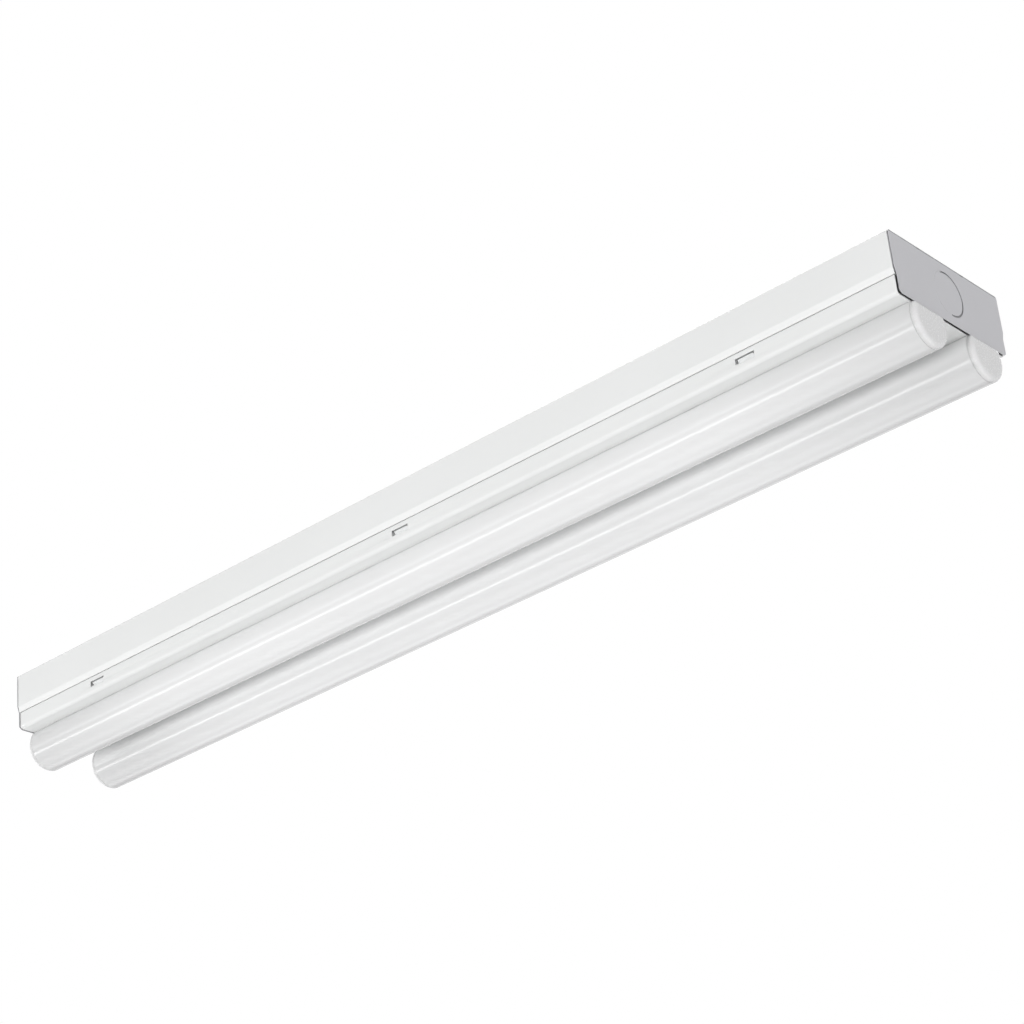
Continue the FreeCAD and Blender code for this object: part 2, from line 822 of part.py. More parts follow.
def make_lens(name):
    """An extruded lens: most of a round tube, cut off under the cover, with two feet turned in."""
    side = way(name)
    label = f"lens_{name}"
    end = lens_body_half_length
    outer = below(f"{label}_outer", lens_cylinder(f"{label}_round", side, S.lens_radius, -end, end),
                  side, lens_top, -end, end)
    bore = below(f"{label}_bore", lens_cylinder(f"{label}_bore_round", side, lens_inner_radius,
                                                -end - S.cut_overrun, end + S.cut_overrun),
                 side, foot_bottom, -end - S.cut_overrun, end + S.cut_overrun)
    centre = lens_centre(side)
    mouth_half = S.rail_half_width + S.rail_foot_gap
    mouth = block(f"{label}_mouth", (-end - S.cut_overrun, centre - mouth_half, foot_bottom - S.cut_overrun),
                  (end + S.cut_overrun, centre + mouth_half, lens_top + S.cut_overrun))
    return cut(label, outer, [fuse(f"{label}_space", [bore, mouth])])


def make_cap_rod(name):
    """A rod as round as the lens, its ends rounded: the bands of the lens's two caps are cut from it."""
    body = new_body(f"cap_rod_{name}")
    profile = sketch_on(body, "YZ_Plane", f"cap_rod_{name}_section")
    add_circle(profile, (lens_centre(way(name)), lens_axis_level), S.lens_radius)
    pad = pad_both_ways(body, profile, lens_half_length * 2)
    rims = [f"Edge{number}" for number, edge in enumerate(pad.Shape.Edges, start=1)
            if edge.BoundBox.XLength < EDGE_MATCH]
    fillet = body.newObject("PartDesign::Fillet", f"cap_rod_{name}_rims")
    fillet.Base = (pad, rims)
    bind(fillet, "Radius", S.cap_edge_radius)
    return body


def make_lens_cap(name, end_name, rod_body):
    """A moulded cap: a band as round as the lens, closed at its rounded face, with a plug inside the lens."""
    side = way(name)
    end = way(end_name)
    label = f"lens_cap_{name}_{end_name}"
    face, root = lens_half_length * end, lens_body_half_length * end
    plug_end = (lens_body_half_length - S.cap_plug) * end
    inner_radius = lens_inner_radius - S.cap_fit
    plug_top = foot_bottom - S.cap_fit

    def stretch(tag, radius, first, last, level):
        low, high = in_order(first, last)
        return below(f"{label}_{tag}", lens_cylinder(f"{label}_{tag}_round", side, radius, low, high),
                     side, level, low, high)

    band = below(f"{label}_band", rod_body, side, lens_top, *in_order(root + S.cut_overrun * end, face))
    plug = stretch("plug", inner_radius, plug_end, root, plug_top)
    hollow_end = plug_end - S.cut_overrun * end
    hollow = stretch("hollow", inner_radius - S.cap_wall, hollow_end, face - S.cap_wall * end,
                     plug_top - S.cap_wall)
    return cut(label, fuse(f"{label}_solid", [band, plug]), [hollow])


# LED driver

def driver_box(name, low, high):
    """A box whose X is counted from the driver's middle."""
    middle = S.driver_centre
    return block(name, (middle + low[0], low[1], low[2]), (middle + high[0], high[1], high[2]))


def make_driver_base():
    half = driver_half_length + S.driver_ear
    plate = driver_box("driver_base_plate", (-half, -driver_half_width, driver_base_bottom),
                       (half, driver_half_width, channel_underside))
    holes = [rod(f"driver_base_hole_{number}", (x, y, 0), "-z", S.driver_screw_radius,
                 S.sheet_steel + S.driver_base_thickness + S.cut_overrun)
             for number, (x, y) in enumerate(driver_screw_places())]
    return cut("driver_base", plate, holes)


def make_driver_cover():
    """The driver's can, open at the top, with a notch in each end for a terminal."""
    wall = S.driver_wall
    outer = driver_box("driver_cover_outer", (-driver_half_length, -driver_half_width, driver_can_bottom),
                       (driver_half_length, driver_half_width, driver_base_bottom))
    inner = driver_box("driver_cover_inner",
                       (wall - driver_half_length, wall - driver_half_width, driver_can_bottom + wall),
                       (driver_half_length - wall, driver_half_width - wall,
                        driver_base_bottom + S.cut_overrun))
    notches = []
    for side, width in ((-1, S.input_terminal_width), (1, S.output_terminal_width)):
        half = width / 2 + S.terminal_notch_fit
        middle = driver_half_length * side
        reach = wall + S.cut_overrun
        notches.append(driver_box(f"driver_cover_notch_{'right' if side > 0 else 'left'}",
                                  (middle - reach, -half,
                                   driver_board_bottom - S.terminal_height - S.terminal_notch_fit),
                                  (middle + reach, half, driver_base_bottom + S.cut_overrun)))
    return cut("driver_cover", outer, [inner] + notches)


def make_driver_standoffs():
    """Four posts that carry the driver's circuit board under its base."""
    posts = []
    for number, (along, across) in enumerate(((-1, -1), (-1, 1), (1, -1), (1, 1)), start=1):
        x = S.driver_centre + (driver_half_length - S.standoff_inset) * along
        y = (driver_half_width - S.standoff_inset) * across
        posts.append(rod(f"driver_standoffs_{number}", (x, y, driver_board_top), "+z", S.standoff_radius,
                         S.standoff_height))
    return group("driver_standoffs", posts)


def make_driver_board():
    reach = driver_half_length - S.driver_wall - S.driver_board_gap
    half = driver_half_width - S.driver_wall - S.driver_board_gap
    return driver_box("driver_board", (-reach, -half, driver_board_bottom), (reach, half, driver_board_top))


def make_transformer_core():
    """Two ferrite legs and their yokes, around the coil."""
    left = S.transformer_offset - S.transformer_length / 2
    right = S.transformer_offset + S.transformer_length / 2
    half = S.transformer_width / 2
    low = driver_board_bottom - S.transformer_height
    outer = driver_box("transformer_outer", (left, -half, low), (right, half, driver_board_bottom))
    window = driver_box("transformer_window",
                        (left + S.transformer_core_leg, -half - S.cut_overrun, low - S.cut_overrun),
                        (right - S.transformer_core_leg, half + S.cut_overrun,
                         driver_board_bottom + S.cut_overrun))
    yoke_top = low + S.transformer_core_leg / 2
    yokes = driver_box("transformer_yoke", (left, -half, low), (right, half, yoke_top))
    return fuse("driver_transformer_core", [cut("transformer_legs", outer, [window]), yokes])


def make_transformer_coil():
    start = (S.driver_centre + S.transformer_offset, as_size(0), driver_board_bottom)
    height = S.transformer_height - S.transformer_core_leg / 2
    coil = rod("transformer_coil_round", start, "-z", S.transformer_coil_radius, height)
    reach = S.transformer_length / 2 - S.transformer_core_leg
    low = (S.transformer_offset - reach, -S.transformer_coil_radius, driver_board_bottom - height)
    high = (S.transformer_offset + reach, S.transformer_coil_radius, driver_board_bottom)
    between = driver_box("transformer_coil_limits", low, high)
    return common("driver_transformer_coil", coil, between)


def make_driver_capacitors():
    """Two capacitors lying side by side on the circuit board."""
    x = S.driver_centre - S.capacitor_offset
    level = driver_board_bottom - S.capacitor_radius
    pieces = [rod(f"driver_capacitors_{side}", (x, S.capacitor_spread * way(side), level), "+x",
                  S.capacitor_radius, S.capacitor_length) for side in LENSES]
    return group("driver_capacitors", pieces)


def make_driver_choke():
    start = (S.driver_centre + S.choke_offset, 0, driver_board_bottom)
    return rod("driver_choke", start, "-z", S.choke_radius, S.choke_height)


def make_driver_terminal(name, side, width):
    label = f"driver_{name}_terminal"
    outer = (driver_half_length + S.terminal_overhang) * side
    inner = outer - S.terminal_length * side
    low, high = (outer, inner) if side < 0 else (inner, outer)
    return driver_box(label, (low, -width / 2, driver_board_bottom - S.terminal_height),
                      (high, width / 2, driver_board_bottom))


def screw_up(name, place, seat, radius, head_radius, head_height):
    """A screw driven up into the channel's top, its tip level with the ceiling face."""
    x, y = place
    shank = rod(f"{name}_shank", (x, y, seat), "+z", radius, -seat)
    head = rod(f"{name}_head", (x, y, seat), "-z", head_radius, head_height)
    return fuse(name, [shank, head])


def make_driver_screws():
    screws = [screw_up(f"driver_screws_{number}", place, driver_base_bottom, S.driver_screw_radius,
                       S.driver_screw_head_radius, S.driver_screw_head_height)
              for number, place in enumerate(driver_screw_places(), start=1)]
    return group("driver_screws", screws)


# Supply block and ground

def pole_places():
    """How far each pole of the supply block is from its middle: line, neutral and ground."""
    return [S.block_pitch * pole for pole in (-1, 0, 1)]


def make_supply_block():
    left = -S.block_centre - S.block_length / 2
    right = -S.block_centre + S.block_length / 2
    half = S.block_width / 2
    bottom = channel_underside - S.block_height
    body = block("supply_block_body", (left, -half, bottom), (right, half, channel_underside))
    cuts = []
    for number, y in enumerate(pole_places(), start=1):
        cuts.append(rod(f"supply_block_entry_{number}", (left - S.cut_overrun, y, wire_level), "+x",
                        S.block_hole_radius, S.block_hole_depth + S.cut_overrun))
        cuts.append(rod(f"supply_block_well_{number}", (clamp_screw_x(), y, bottom - S.cut_overrun), "+z",
                        S.clamp_screw_radius + S.clamp_screw_fit,
                        S.clamp_screw_length + S.clamp_screw_room + S.cut_overrun))
    x, y = block_screw_place()
    cuts.append(rod("supply_block_screw_hole", (x, y, bottom - S.cut_overrun), "+z", S.block_screw_radius,
                    S.block_height + S.cut_overrun * 2))
    return cut("supply_block", body, cuts)


def clamp_screw_x():
    return -S.block_centre - S.clamp_screw_offset


def make_clamp_screws():
    """One clamp screw for each pole, with a slot for the driver's blade."""
    bottom = channel_underside - S.block_height
    screws = []
    for number, y in enumerate(pole_places(), start=1):
        x = clamp_screw_x()
        radius = S.clamp_screw_radius
        pin = rod(f"supply_clamp_pin_{number}", (x, y, bottom), "+z", radius, S.clamp_screw_length)
        slot = block(f"supply_clamp_slot_{number}",
                     (x - radius - S.cut_overrun, y - S.screw_slot_width / 2, bottom - S.cut_overrun),
                     (x + radius + S.cut_overrun, y + S.screw_slot_width / 2, bottom + S.screw_slot_depth))
        screws.append(cut(f"supply_clamp_screw_{number}", pin, [slot]))
    return group("supply_clamp_screws", screws)


def make_block_screw():
    return screw_up("supply_block_screw", block_screw_place(), channel_underside - S.block_height,
                    S.block_screw_radius, S.block_screw_head_radius, S.block_screw_head_height)


def ground_place():
    return (S.ground_screw_along, strap_rivet_line - S.ground_screw_inset)


def make_ground_screw():
    return screw_up("ground_screw", ground_place(), channel_underside - S.ring_thickness,
                    S.ground_screw_radius, S.ground_screw_head_radius, S.ground_screw_head_height)


def barrel_level():
    return channel_underside - S.ring_barrel_radius - S.ring_thickness / 4


def make_ground_ring():
    """A ring terminal under the ground screw, with the barrel that grips the wire."""
    x, y = ground_place()
    disc = rod("ground_ring_disc", (x, y, channel_underside), "-z", S.ring_radius, S.ring_thickness)
    start = x - S.ring_radius - S.ring_barrel_length / 2
    barrel = rod("ground_ring_barrel", (start, y, barrel_level()), "+x", S.ring_barrel_radius,
                 S.ring_barrel_length)
    hole = rod("ground_ring_hole", (x, y, ceiling_level), "-z", S.ground_screw_radius,
               S.sheet_steel + S.ring_thickness * 2 + S.ring_barrel_radius * 2)
    head = rod("ground_ring_clear", (x, y, channel_underside - S.ring_thickness), "-z",
               S.ground_screw_head_radius, S.ring_barrel_radius * 2)
    room = fuse("ground_ring_room", [hole, head])
    return cut("ground_ring", fuse("ground_ring_solid", [disc, barrel]), [room])


# Wires

def wire(name, radius, corners):
    """A round wire along straight runs joined by arcs that touch both runs."""
    points = [FreeCAD.Vector(*(as_size(size).value for size in corner)) for corner in corners]
    edges = []
    start = points[0]
    for before, corner, after in zip(points, points[1:], points[2:]):
        into = (corner - before).normalize()
        out = (after - corner).normalize()
        reach = WIRE_BEND_SHARE * min((corner - before).Length, (after - corner).Length)
        half_turn = into.getAngle(out) / 2
        bend = reach / math.tan(half_turn)
        inward = (out - into).normalize()
        crown = corner + inward * (bend / math.cos(half_turn) - bend)
        first = corner - into * reach
        last = corner + out * reach
        edges.append(Part.LineSegment(start, first).toShape())
        edges.append(Part.Arc(first, crown, last).toShape())
        start = last
    edges.append(Part.LineSegment(start, points[-1]).toShape())
    path = Part.Wire(edges)
    section = Part.Wire(Part.Circle(points[0], points[1] - points[0], radius.value).toShape())
    solid = path.makePipeShell([section], True, False)
    expected = math.pi * radius.value ** 2 * path.Length
    if abs(solid.Volume / expected - 1) > WIRE_VOLUME_ERROR_SHARE:
        raise ValueError(f"{name} isn't a whole tube")
    return solid


def wire_node(label, solids):
    thing = doc.addObject("Part::Feature", label)
    thing.Shape = solids[0] if len(solids) == 1 else Part.makeCompound(solids)
    thing.Placement = FreeCAD.Placement()
    return thing


def block_exit():
    return S.block_length / 2 - S.block_centre


def make_mains_wire(label, pole, driver_side):
    """A wire from one pole of the supply block to the driver's input terminal."""
    start_y = pole_places()[pole]
    end_y = S.driver_wire_pitch / 2 * driver_side
    start = block_exit()
    end = S.driver_centre - driver_half_length - S.terminal_overhang
    end_level = driver_board_bottom - S.terminal_height / 2
    corners = [(start, start_y, wire_level), (start + S.wire_exit, start_y, wire_level),
               (end - S.wire_exit, end_y, end_level), (end, end_y, end_level)]
    return wire_node(label, [wire(label, S.mains_wire_radius, corners)])


def make_ground_wire():
    x, y = ground_place()
    end = x - S.ring_radius - S.ring_barrel_length / 2
    start = block_exit()
    start_y = pole_places()[2]
    corners = [(start, start_y, wire_level), (start + S.wire_exit, start_y, wire_level),
               (end - S.wire_exit, y, barrel_level()), (end, y, barrel_level())]
    return wire_node("ground_wire", [wire("ground_wire", S.mains_wire_radius, corners)])


def make_led_wires(name):
    """Two wires from the driver's output terminal over and down to a board's connector."""
    side = way(name)
    start = driver_right_end
    start_level = driver_board_bottom - S.terminal_height / 2
    end_y = lens_centre(side)
    end_level = connector_top + S.led_wire_end_gap
    pitch = S.led_wire_pitch
    solids = []
    for order in (-1, 1):
        # The wire nearer the middle goes to the far pin and lies a little higher
        start_y = (pitch - pitch / 2 * order) * side
        end_x = connector_place + pitch / 2 * order
        turn_x = start + S.wire_exit - pitch / 4 + pitch / 2 * order
        drop = pitch - pitch / 4 * order
        corners = [(start, start_y, start_level), (turn_x, start_y, start_level),
                   (end_x, end_y, start_level - drop), (end_x, end_y, end_level)]
        solids.append(wire(f"led_wires_{name}_{order}", S.led_wire_radius, corners))
    return wire_node(f"led_wires_{name}", solids)


# The whole light

def make_all():
    nodes = [make_channel_housing(), make_channel_cover()]
    nodes += [make_end_plate(name) for name in ENDS]
    nodes += [make_strap(name) for name in STRAP_SHARES]
    nodes += [make_end_rivets(), make_strap_rivets()]
    for name in LENSES:
        nodes += [make_lens_rail(name), make_led_board(name), make_led_chips(name)]
        nodes += [make_board_connector(name), make_lens(name), make_led_wires(name)]
        rod_body = make_cap_rod(name)
        nodes += [make_lens_cap(name, end_name, rod_body) for end_name in ENDS]
    nodes.append(make_board_screws())
    nodes += [make_driver_base(), make_driver_cover(), make_driver_standoffs(), make_driver_board()]
    nodes += [make_transformer_core(), make_transformer_coil(), make_driver_capacitors(), make_driver_choke()]
    nodes.append(make_driver_terminal("input", -1, S.input_terminal_width))
    nodes.append(make_driver_terminal("output", 1, S.output_terminal_width))
    nodes.append(make_driver_screws())
    nodes += [make_supply_block(), make_clamp_screws(), make_block_screw()]
    nodes += [make_ground_screw(), make_ground_ring(), make_ground_wire()]
    nodes.append(make_mains_wire("line_wire", 0, -1))
    nodes.append(make_mains_wire("neutral_wire", 1, 1))
    return nodes


def check_and_write(nodes):
    """Recompute, refuse anything failed or empty, then write one file for each node."""
    doc.recompute()
    for thing in doc.Objects:
        if "Invalid" in thing.State or "Error" in thing.State:
            raise ValueError(f"{thing.Label} failed: {thing.State}")
    for node in nodes:
        if node.Shape.isNull() or not node.Shape.isValid() or not node.Shape.Solids:
            raise ValueError(f"{node.Label} has no valid shape")
    os.makedirs("parts", exist_ok=True)
    for node in nodes:
        node.Shape.exportStep(f"parts/{node.Label}.step")
    print(f"{len(nodes)} nodes written")


check_and_write(make_all())
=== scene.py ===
import math
import bpy
import numpy as np
from mathutils import Matrix, Vector


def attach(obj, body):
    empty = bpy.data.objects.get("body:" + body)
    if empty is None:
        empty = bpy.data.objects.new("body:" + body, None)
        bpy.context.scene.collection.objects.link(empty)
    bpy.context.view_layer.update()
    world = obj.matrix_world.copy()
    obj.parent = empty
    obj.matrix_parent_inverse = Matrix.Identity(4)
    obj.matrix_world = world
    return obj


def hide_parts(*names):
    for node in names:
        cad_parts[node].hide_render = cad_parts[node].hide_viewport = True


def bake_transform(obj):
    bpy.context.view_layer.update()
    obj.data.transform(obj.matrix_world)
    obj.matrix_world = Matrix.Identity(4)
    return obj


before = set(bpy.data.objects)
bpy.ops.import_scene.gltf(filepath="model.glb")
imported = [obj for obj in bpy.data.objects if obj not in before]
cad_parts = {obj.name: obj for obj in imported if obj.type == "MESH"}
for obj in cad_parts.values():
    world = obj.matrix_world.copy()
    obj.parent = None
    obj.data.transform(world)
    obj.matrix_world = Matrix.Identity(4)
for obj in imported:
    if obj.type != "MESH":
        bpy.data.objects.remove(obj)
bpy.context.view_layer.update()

# Strip light with two round frosted lenses: the visual model, in metres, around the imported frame.
# X runs along the light, the front side is -Y, and the face on the ceiling is Z = 0.
# Lengths in this script are written in millimetres and multiplied by MM where they enter a mesh.

MM = 0.001

# Places and sizes that several pieces share. LENS_TOP and CAP_TOP are where the photo shows them, and the
# others are as in the CAD.
HALF_LENGTH = 304.8
PLATE_INSIDE = 304.0
SHEET = 0.6
LENS_CENTRE = 23.0
LENS_AXIS = -40.3
LENS_RADIUS = 13.0
LENS_WALL = 1.2
LENS_TOP = -33.08
LENS_END = 303.3
CAP_FACE = 306.6
CAP_EDGE = 2.5
CAP_TOP = -33.55
COVER_END = 303.4
STRAPS = {"left": -236.7, "middle": -2.0, "right": 219.0}
STRAP_RIVET_LINE = 30.0
SLOT_HALF = 5.5
SLOT_TOP = -25.6
SLOT_BOTTOM = -28.8

# The chamfer on every cut edge, and the steps of a bend in sheet
CHAMFER = 0.08
BEND_STEPS = 8

# Round holes: radius, and half the square of cells that each lies in
RIVET_HOLE = (1.55, 2.4)
SCREW_HOLE = (1.92, 2.8)
BLOCK_SCREW_HOLE = (1.52, 2.3)
MOUNT_HOLE = (3.5, 5.0)
SUPPLY_HOLE = (11.1, 13.5)

# Where the connectors stand along the light
CONNECTOR_PLACE = 179.3


# Surfaces

def arc_path(corners, radii, steps):
    """A line through corners, each rounded by an arc that touches both its runs.

    An arc of radius r between directions u and v starts r tan(turn / 2) before the corner. Its points are
    the start plus r times (the sine along u and one less the cosine towards the inside of the bend).
    """
    corners = np.asarray(corners, float)
    pieces = [corners[:1]]
    for before, corner, after, radius in zip(corners, corners[1:], corners[2:], radii):
        u = (corner - before) / np.linalg.norm(corner - before)
        v = (after - corner) / np.linalg.norm(after - corner)
        turn = math.atan2(u[0] * v[1] - u[1] * v[0], u @ v)
        inward = np.array([-u[1], u[0]]) * math.copysign(1, turn)
        angles = np.linspace(0, abs(turn), steps + 1)[:, None]
        start = corner - u * radius * math.tan(abs(turn) / 2)
        pieces.append(start + radius * (np.sin(angles) * u + (1 - np.cos(angles)) * inward))
    pieces.append(corners[-1:])
    return np.concatenate(pieces)


def mirrored_path(half, radii, steps=BEND_STEPS):
    """A symmetric path from the front to the rear: the rear half's corners from the middle outwards."""
    half = np.asarray(half, float)
    front = half[::-1] * (-1, 1)
    return arc_path(np.concatenate([front, half]), list(radii[::-1]) + list(radii), steps)


def lengths_along(path):
    """How far each point of a path is along it, counted from its middle."""
    run = np.concatenate([[0], np.cumsum(np.linalg.norm(np.diff(path, axis=0), axis=1))])
    return run - run[-1] / 2


def tidy_lines(*groups):
    """All the stations of a grid in one direction, in order, with near doubles left out."""
    lines = np.sort(np.concatenate([np.asarray(group, float) for group in groups]))
    return lines[np.concatenate([[True], np.diff(lines) > 1e-4])]


def end_lines(end):
    """Stations at both ends of a piece, with one a chamfer inside each."""
    return np.array([-end, CHAMFER - end, end - CHAMFER, end])


def run_lines(run):
    """Stations at all the points of a path, with one a chamfer inside each end."""
    return np.concatenate([run, [run[0] + CHAMFER, run[-1] - CHAMFER]])


def opening_lines(low, high):
    """Stations at both edges of an opening, with one a chamfer outside each."""
    return np.array([low - CHAMFER, low, high, high + CHAMFER])


def hole_lines(holes, axis):
    """Nine stations across the square of each round hole, along X (axis 0) or along the path (axis 1)."""
    return [hole[axis] + hole[3] * np.linspace(-1, 1, 9) for hole in holes]


def blank(x_lines, s_lines, holes=(), openings=()):
    """A flat blank as a grid of squares with holes.

    Each round hole lies in a square of whole cells. Around it, rings go from its circle out to the square's
    outline: ring point = circle point + share * (outline point - circle point), at the same angle.
    Returns the flat points and the faces.
    """
    nx, ns = len(x_lines), len(s_lines)
    points = np.stack(np.meshgrid(x_lines, s_lines, indexing="ij"), 2).reshape(-1, 2)
    index = np.arange(nx * ns).reshape(nx, ns)
    keep = np.ones((nx - 1, ns - 1), bool)
    middle_x = (x_lines[1:] + x_lines[:-1]) / 2
    middle_s = (s_lines[1:] + s_lines[:-1]) / 2
    for x0, s0, x1, s1 in openings:
        keep &= ~np.outer((middle_x > x0) & (middle_x < x1), (middle_s > s0) & (middle_s < s1))
    faces = []
    extra = []
    count = nx * ns
    for x, s, radius, reach in holes:
        inside_x = np.abs(x_lines - x) < reach + 1e-3
        inside_s = np.abs(s_lines - s) < reach + 1e-3
        keep &= ~np.outer(np.abs(middle_x - x) < reach, np.abs(middle_s - s) < reach)
        square = index[np.ix_(inside_x, inside_s)]
        border = np.concatenate([square[:-1, 0], square[-1, :-1], square[:0:-1, -1], square[0, :0:-1]])
        outer = points[border] - (x, s)
        angle = np.arctan2(outer[:, 1], outer[:, 0])
        circle = radius * np.stack([np.cos(angle), np.sin(angle)], 1)
        chamfer_share = CHAMFER / (reach - radius)
        rings = [border]
        for share in (0.4, chamfer_share, 0):
            extra.append((x, s) + circle + share * (outer - circle))
            rings.append(count + np.arange(len(border)))
            count += len(border)
        for ring, inner in zip(rings, rings[1:]):
            faces.append(np.stack([ring, np.roll(ring, -1), np.roll(inner, -1), inner], 1))
    cells = np.stack([index[:-1, :-1], index[1:, :-1], index[1:, 1:], index[:-1, 1:]], 2)[keep]
    faces.append(cells)
    return np.concatenate([points] + extra), np.concatenate(faces)


def two_skins(middle, offset, faces):
    """A sheet's two skins and the walls along its cut edges.

    Outer skin = middle + offset, inner skin = middle - offset. An edge that only one face uses is a cut
    edge, and gets a wall between the skins.
    """
    count = len(middle)
    starts = faces.ravel()
    ends = np.roll(faces, -1, 1).ravel()
    alone = ~np.isin(starts * count + ends, ends * count + starts)
    a, b = starts[alone], ends[alone]
    offset = offset.copy()
    rim = np.unique(np.concatenate([a, b]))
    size = np.linalg.norm(offset[rim], axis=1, keepdims=True)
    offset[rim] *= 1 - CHAMFER / size
    walls = np.stack([b, a, a + count, b + count], 1)
    return (np.concatenate([middle + offset, middle - offset]),
            [np.concatenate([faces, faces[:, ::-1] + count, walls])])


def fold(flat, path, thickness):
    """Carry a flat blank round a path: its second direction becomes the distance along the path.

    Middle = (x, path point at that distance). At each corner of the path the offset is the sum of the two
    neighbouring normals divided by one plus their product, so that both skins stay a constant distance apart.
    """
    run = lengths_along(path)
    direction = np.diff(path, axis=0)
    direction /= np.linalg.norm(direction, axis=1, keepdims=True)
    normal = np.stack([-direction[:, 1], direction[:, 0]], 1)
    before = np.concatenate([normal[:1], normal])
    after = np.concatenate([normal, normal[-1:]])
    offset = (before + after) / (1 + (before * after).sum(1, keepdims=True)) * thickness / 2
    x, s = flat.T
    middle = np.stack([x, np.interp(s, run, path[:, 0]), np.interp(s, run, path[:, 1])], 1)
    outward = np.stack([0 * x, np.interp(s, run, offset[:, 0]), np.interp(s, run, offset[:, 1])], 1)
    return middle, outward


def join_shells(shells):
    """Put shells, each of points and lists of faces, into one set of arrays."""
    starts = np.cumsum([0] + [len(points) for points, _ in shells[:-1]])
    faces = [some + start for (_, groups), start in zip(shells, starts) for some in groups]
    return np.concatenate([points for points, _ in shells]), faces


def rings_to_quads(index):
    """Squares between each row of a grid of point numbers and the next, closed round the turn."""
    nxt = np.roll(index, -1, 1)
    return np.stack([index[:-1], nxt[:-1], nxt[1:], index[1:]], 2).reshape(-1, 4)


def fan(ring, centre, flip=False):
    """Triangles from a closed ring of point numbers to the number of its centre."""
    after = np.roll(ring, -1)
    first, second = (after, ring) if flip else (ring, after)
    return np.stack([first, second, np.full(len(ring), centre)], 1)


def make_piece(name, points, faces, finish, body, slot, replaces, sharp=35):
    """Put points and lists of faces into a mesh with its finish, put it on its body, and hide the nodes it
    replaces.
    """
    used, corner = np.unique(np.concatenate([f.ravel() for f in faces]), return_inverse=True)
    totals = np.concatenate([np.full(len(f), f.shape[1]) for f in faces])
    mesh = bpy.data.meshes.new(name)
    mesh.vertices.add(len(used))
    mesh.vertices.foreach_set("co", (np.asarray(points)[used] * MM).ravel())
    mesh.loops.add(len(corner))
    mesh.loops.foreach_set("vertex_index", corner.astype(np.int32).ravel())
    mesh.polygons.add(len(totals))
    mesh.polygons.foreach_set("loop_start", (np.cumsum(totals) - totals).astype(np.int32))
    mesh.update(calc_edges=True)
    mesh.validate()
    mesh.shade_smooth()
    mesh.set_sharp_from_angle(angle=math.radians(sharp))
    mesh.materials.append(finish)
    piece = bpy.data.objects.new(name, mesh)
    bpy.context.scene.collection.objects.link(piece)
    if body:
        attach(piece, body)
    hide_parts(*replaces)
    return piece


# Finishes

class Finish:
    """A material: values that are the same all over go on the shader's own sockets."""

    def __init__(self, name, **values):
        self.material = bpy.data.materials.new(name)
        self.material.use_nodes = True
        self.tree = self.material.node_tree
        self.shader = self.tree.nodes["Principled BSDF"]
        self.place = self.tree.nodes.new("ShaderNodeTexCoord").outputs["Object"]
        for socket, value in values.items():
            self.shader.inputs[socket.replace("_", " ")].default_value = value

    def node(self, kind, settings=None, **inputs):
        """A new node with its settings, and a value or a socket for each named input."""
        node = self.tree.nodes.new(f"ShaderNode{kind}")
        for key, value in (settings or {}).items():
            setattr(node, key, value)
        for socket, value in inputs.items():
            target = node.inputs[socket.replace("_", " ")]
            if isinstance(value, bpy.types.NodeSocket):
                self.tree.links.new(value, target)
            else:
                target.default_value = value
        return node

    def noise(self, scale, detail, stretch=None):
        """Noise in object space, with scale in cells a metre."""
        place = self.place
        if stretch:
            place = self.node("Mapping", Vector=place, Scale=stretch).outputs["Vector"]
        return self.node("TexNoise", Vector=place, Scale=scale, Detail=detail).outputs["Fac"]

    def sums(self, operation, *values):
        """A sum or another operation on numbers or sockets."""
        node = self.node("Math", {"operation": operation})
        for socket, value in zip(node.inputs, values):
            if isinstance(value, bpy.types.NodeSocket):
                self.tree.links.new(value, socket)
            else:
                socket.default_value = value
        return node.outputs["Value"]

    def scaled(self, colour, factor):
        """A colour times a number."""
        return self.node("VectorMath", {"operation": "SCALE"}, Vector=colour, Scale=factor).outputs["Vector"]

    def spread(self, value, low, high, start=0.3, end=0.7, kind="LINEAR"):
        """Low before the start, high after the end, and in between along a line or a smooth step."""
        return self.node("MapRange", {"interpolation_type": kind}, Value=value, From_Min=start, From_Max=end,
                         To_Min=low, To_Max=high).outputs["Result"]

    def blend(self, factor, first, second):
        """The first colour where the factor is nought, and the second where it is one."""
        mix = self.node("Mix", {"data_type": "RGBA"})
        sockets = {s.identifier: s for s in mix.inputs}
        for key, value in (("Factor_Float", factor), ("A_Color", first), ("B_Color", second)):
            if isinstance(value, bpy.types.NodeSocket):
                self.tree.links.new(value, sockets[key])
            else:
                sockets[key].default_value = value if key == "Factor_Float" else (*value, 1)
        return next(s for s in mix.outputs if s.identifier == "Result_Color")

    def set(self, socket, value):
        """Lead a socket's value into one of the shader's own."""
        self.tree.links.new(value, self.shader.inputs[socket])

    def bump(self, height, depth):
        """Raise and lower the surface by up to a depth in millimetres."""
        bump = self.node("Bump", Height=height, Distance=depth * MM)
        self.set("Normal", bump.outputs["Normal"])


# An end plate's bare edges and painted shade, in millimetres from the middle of its thickness and from the
# ceiling
PLATE_MIDDLE = 304.4
BARE_EDGE_AND_PAINTED_SHADE = (0.31, 0.37)
PAINTED_TOP_SHADE = (-0.7, -0.2)
PAINTED_NOTCH_LEVELS = (-1.1, -0.7)
PAINTED_NOTCH_WIDTHS = (1.0, 1.6)
PAINTED_NOTCH_SHADOWS = (-21.3, 14.9)


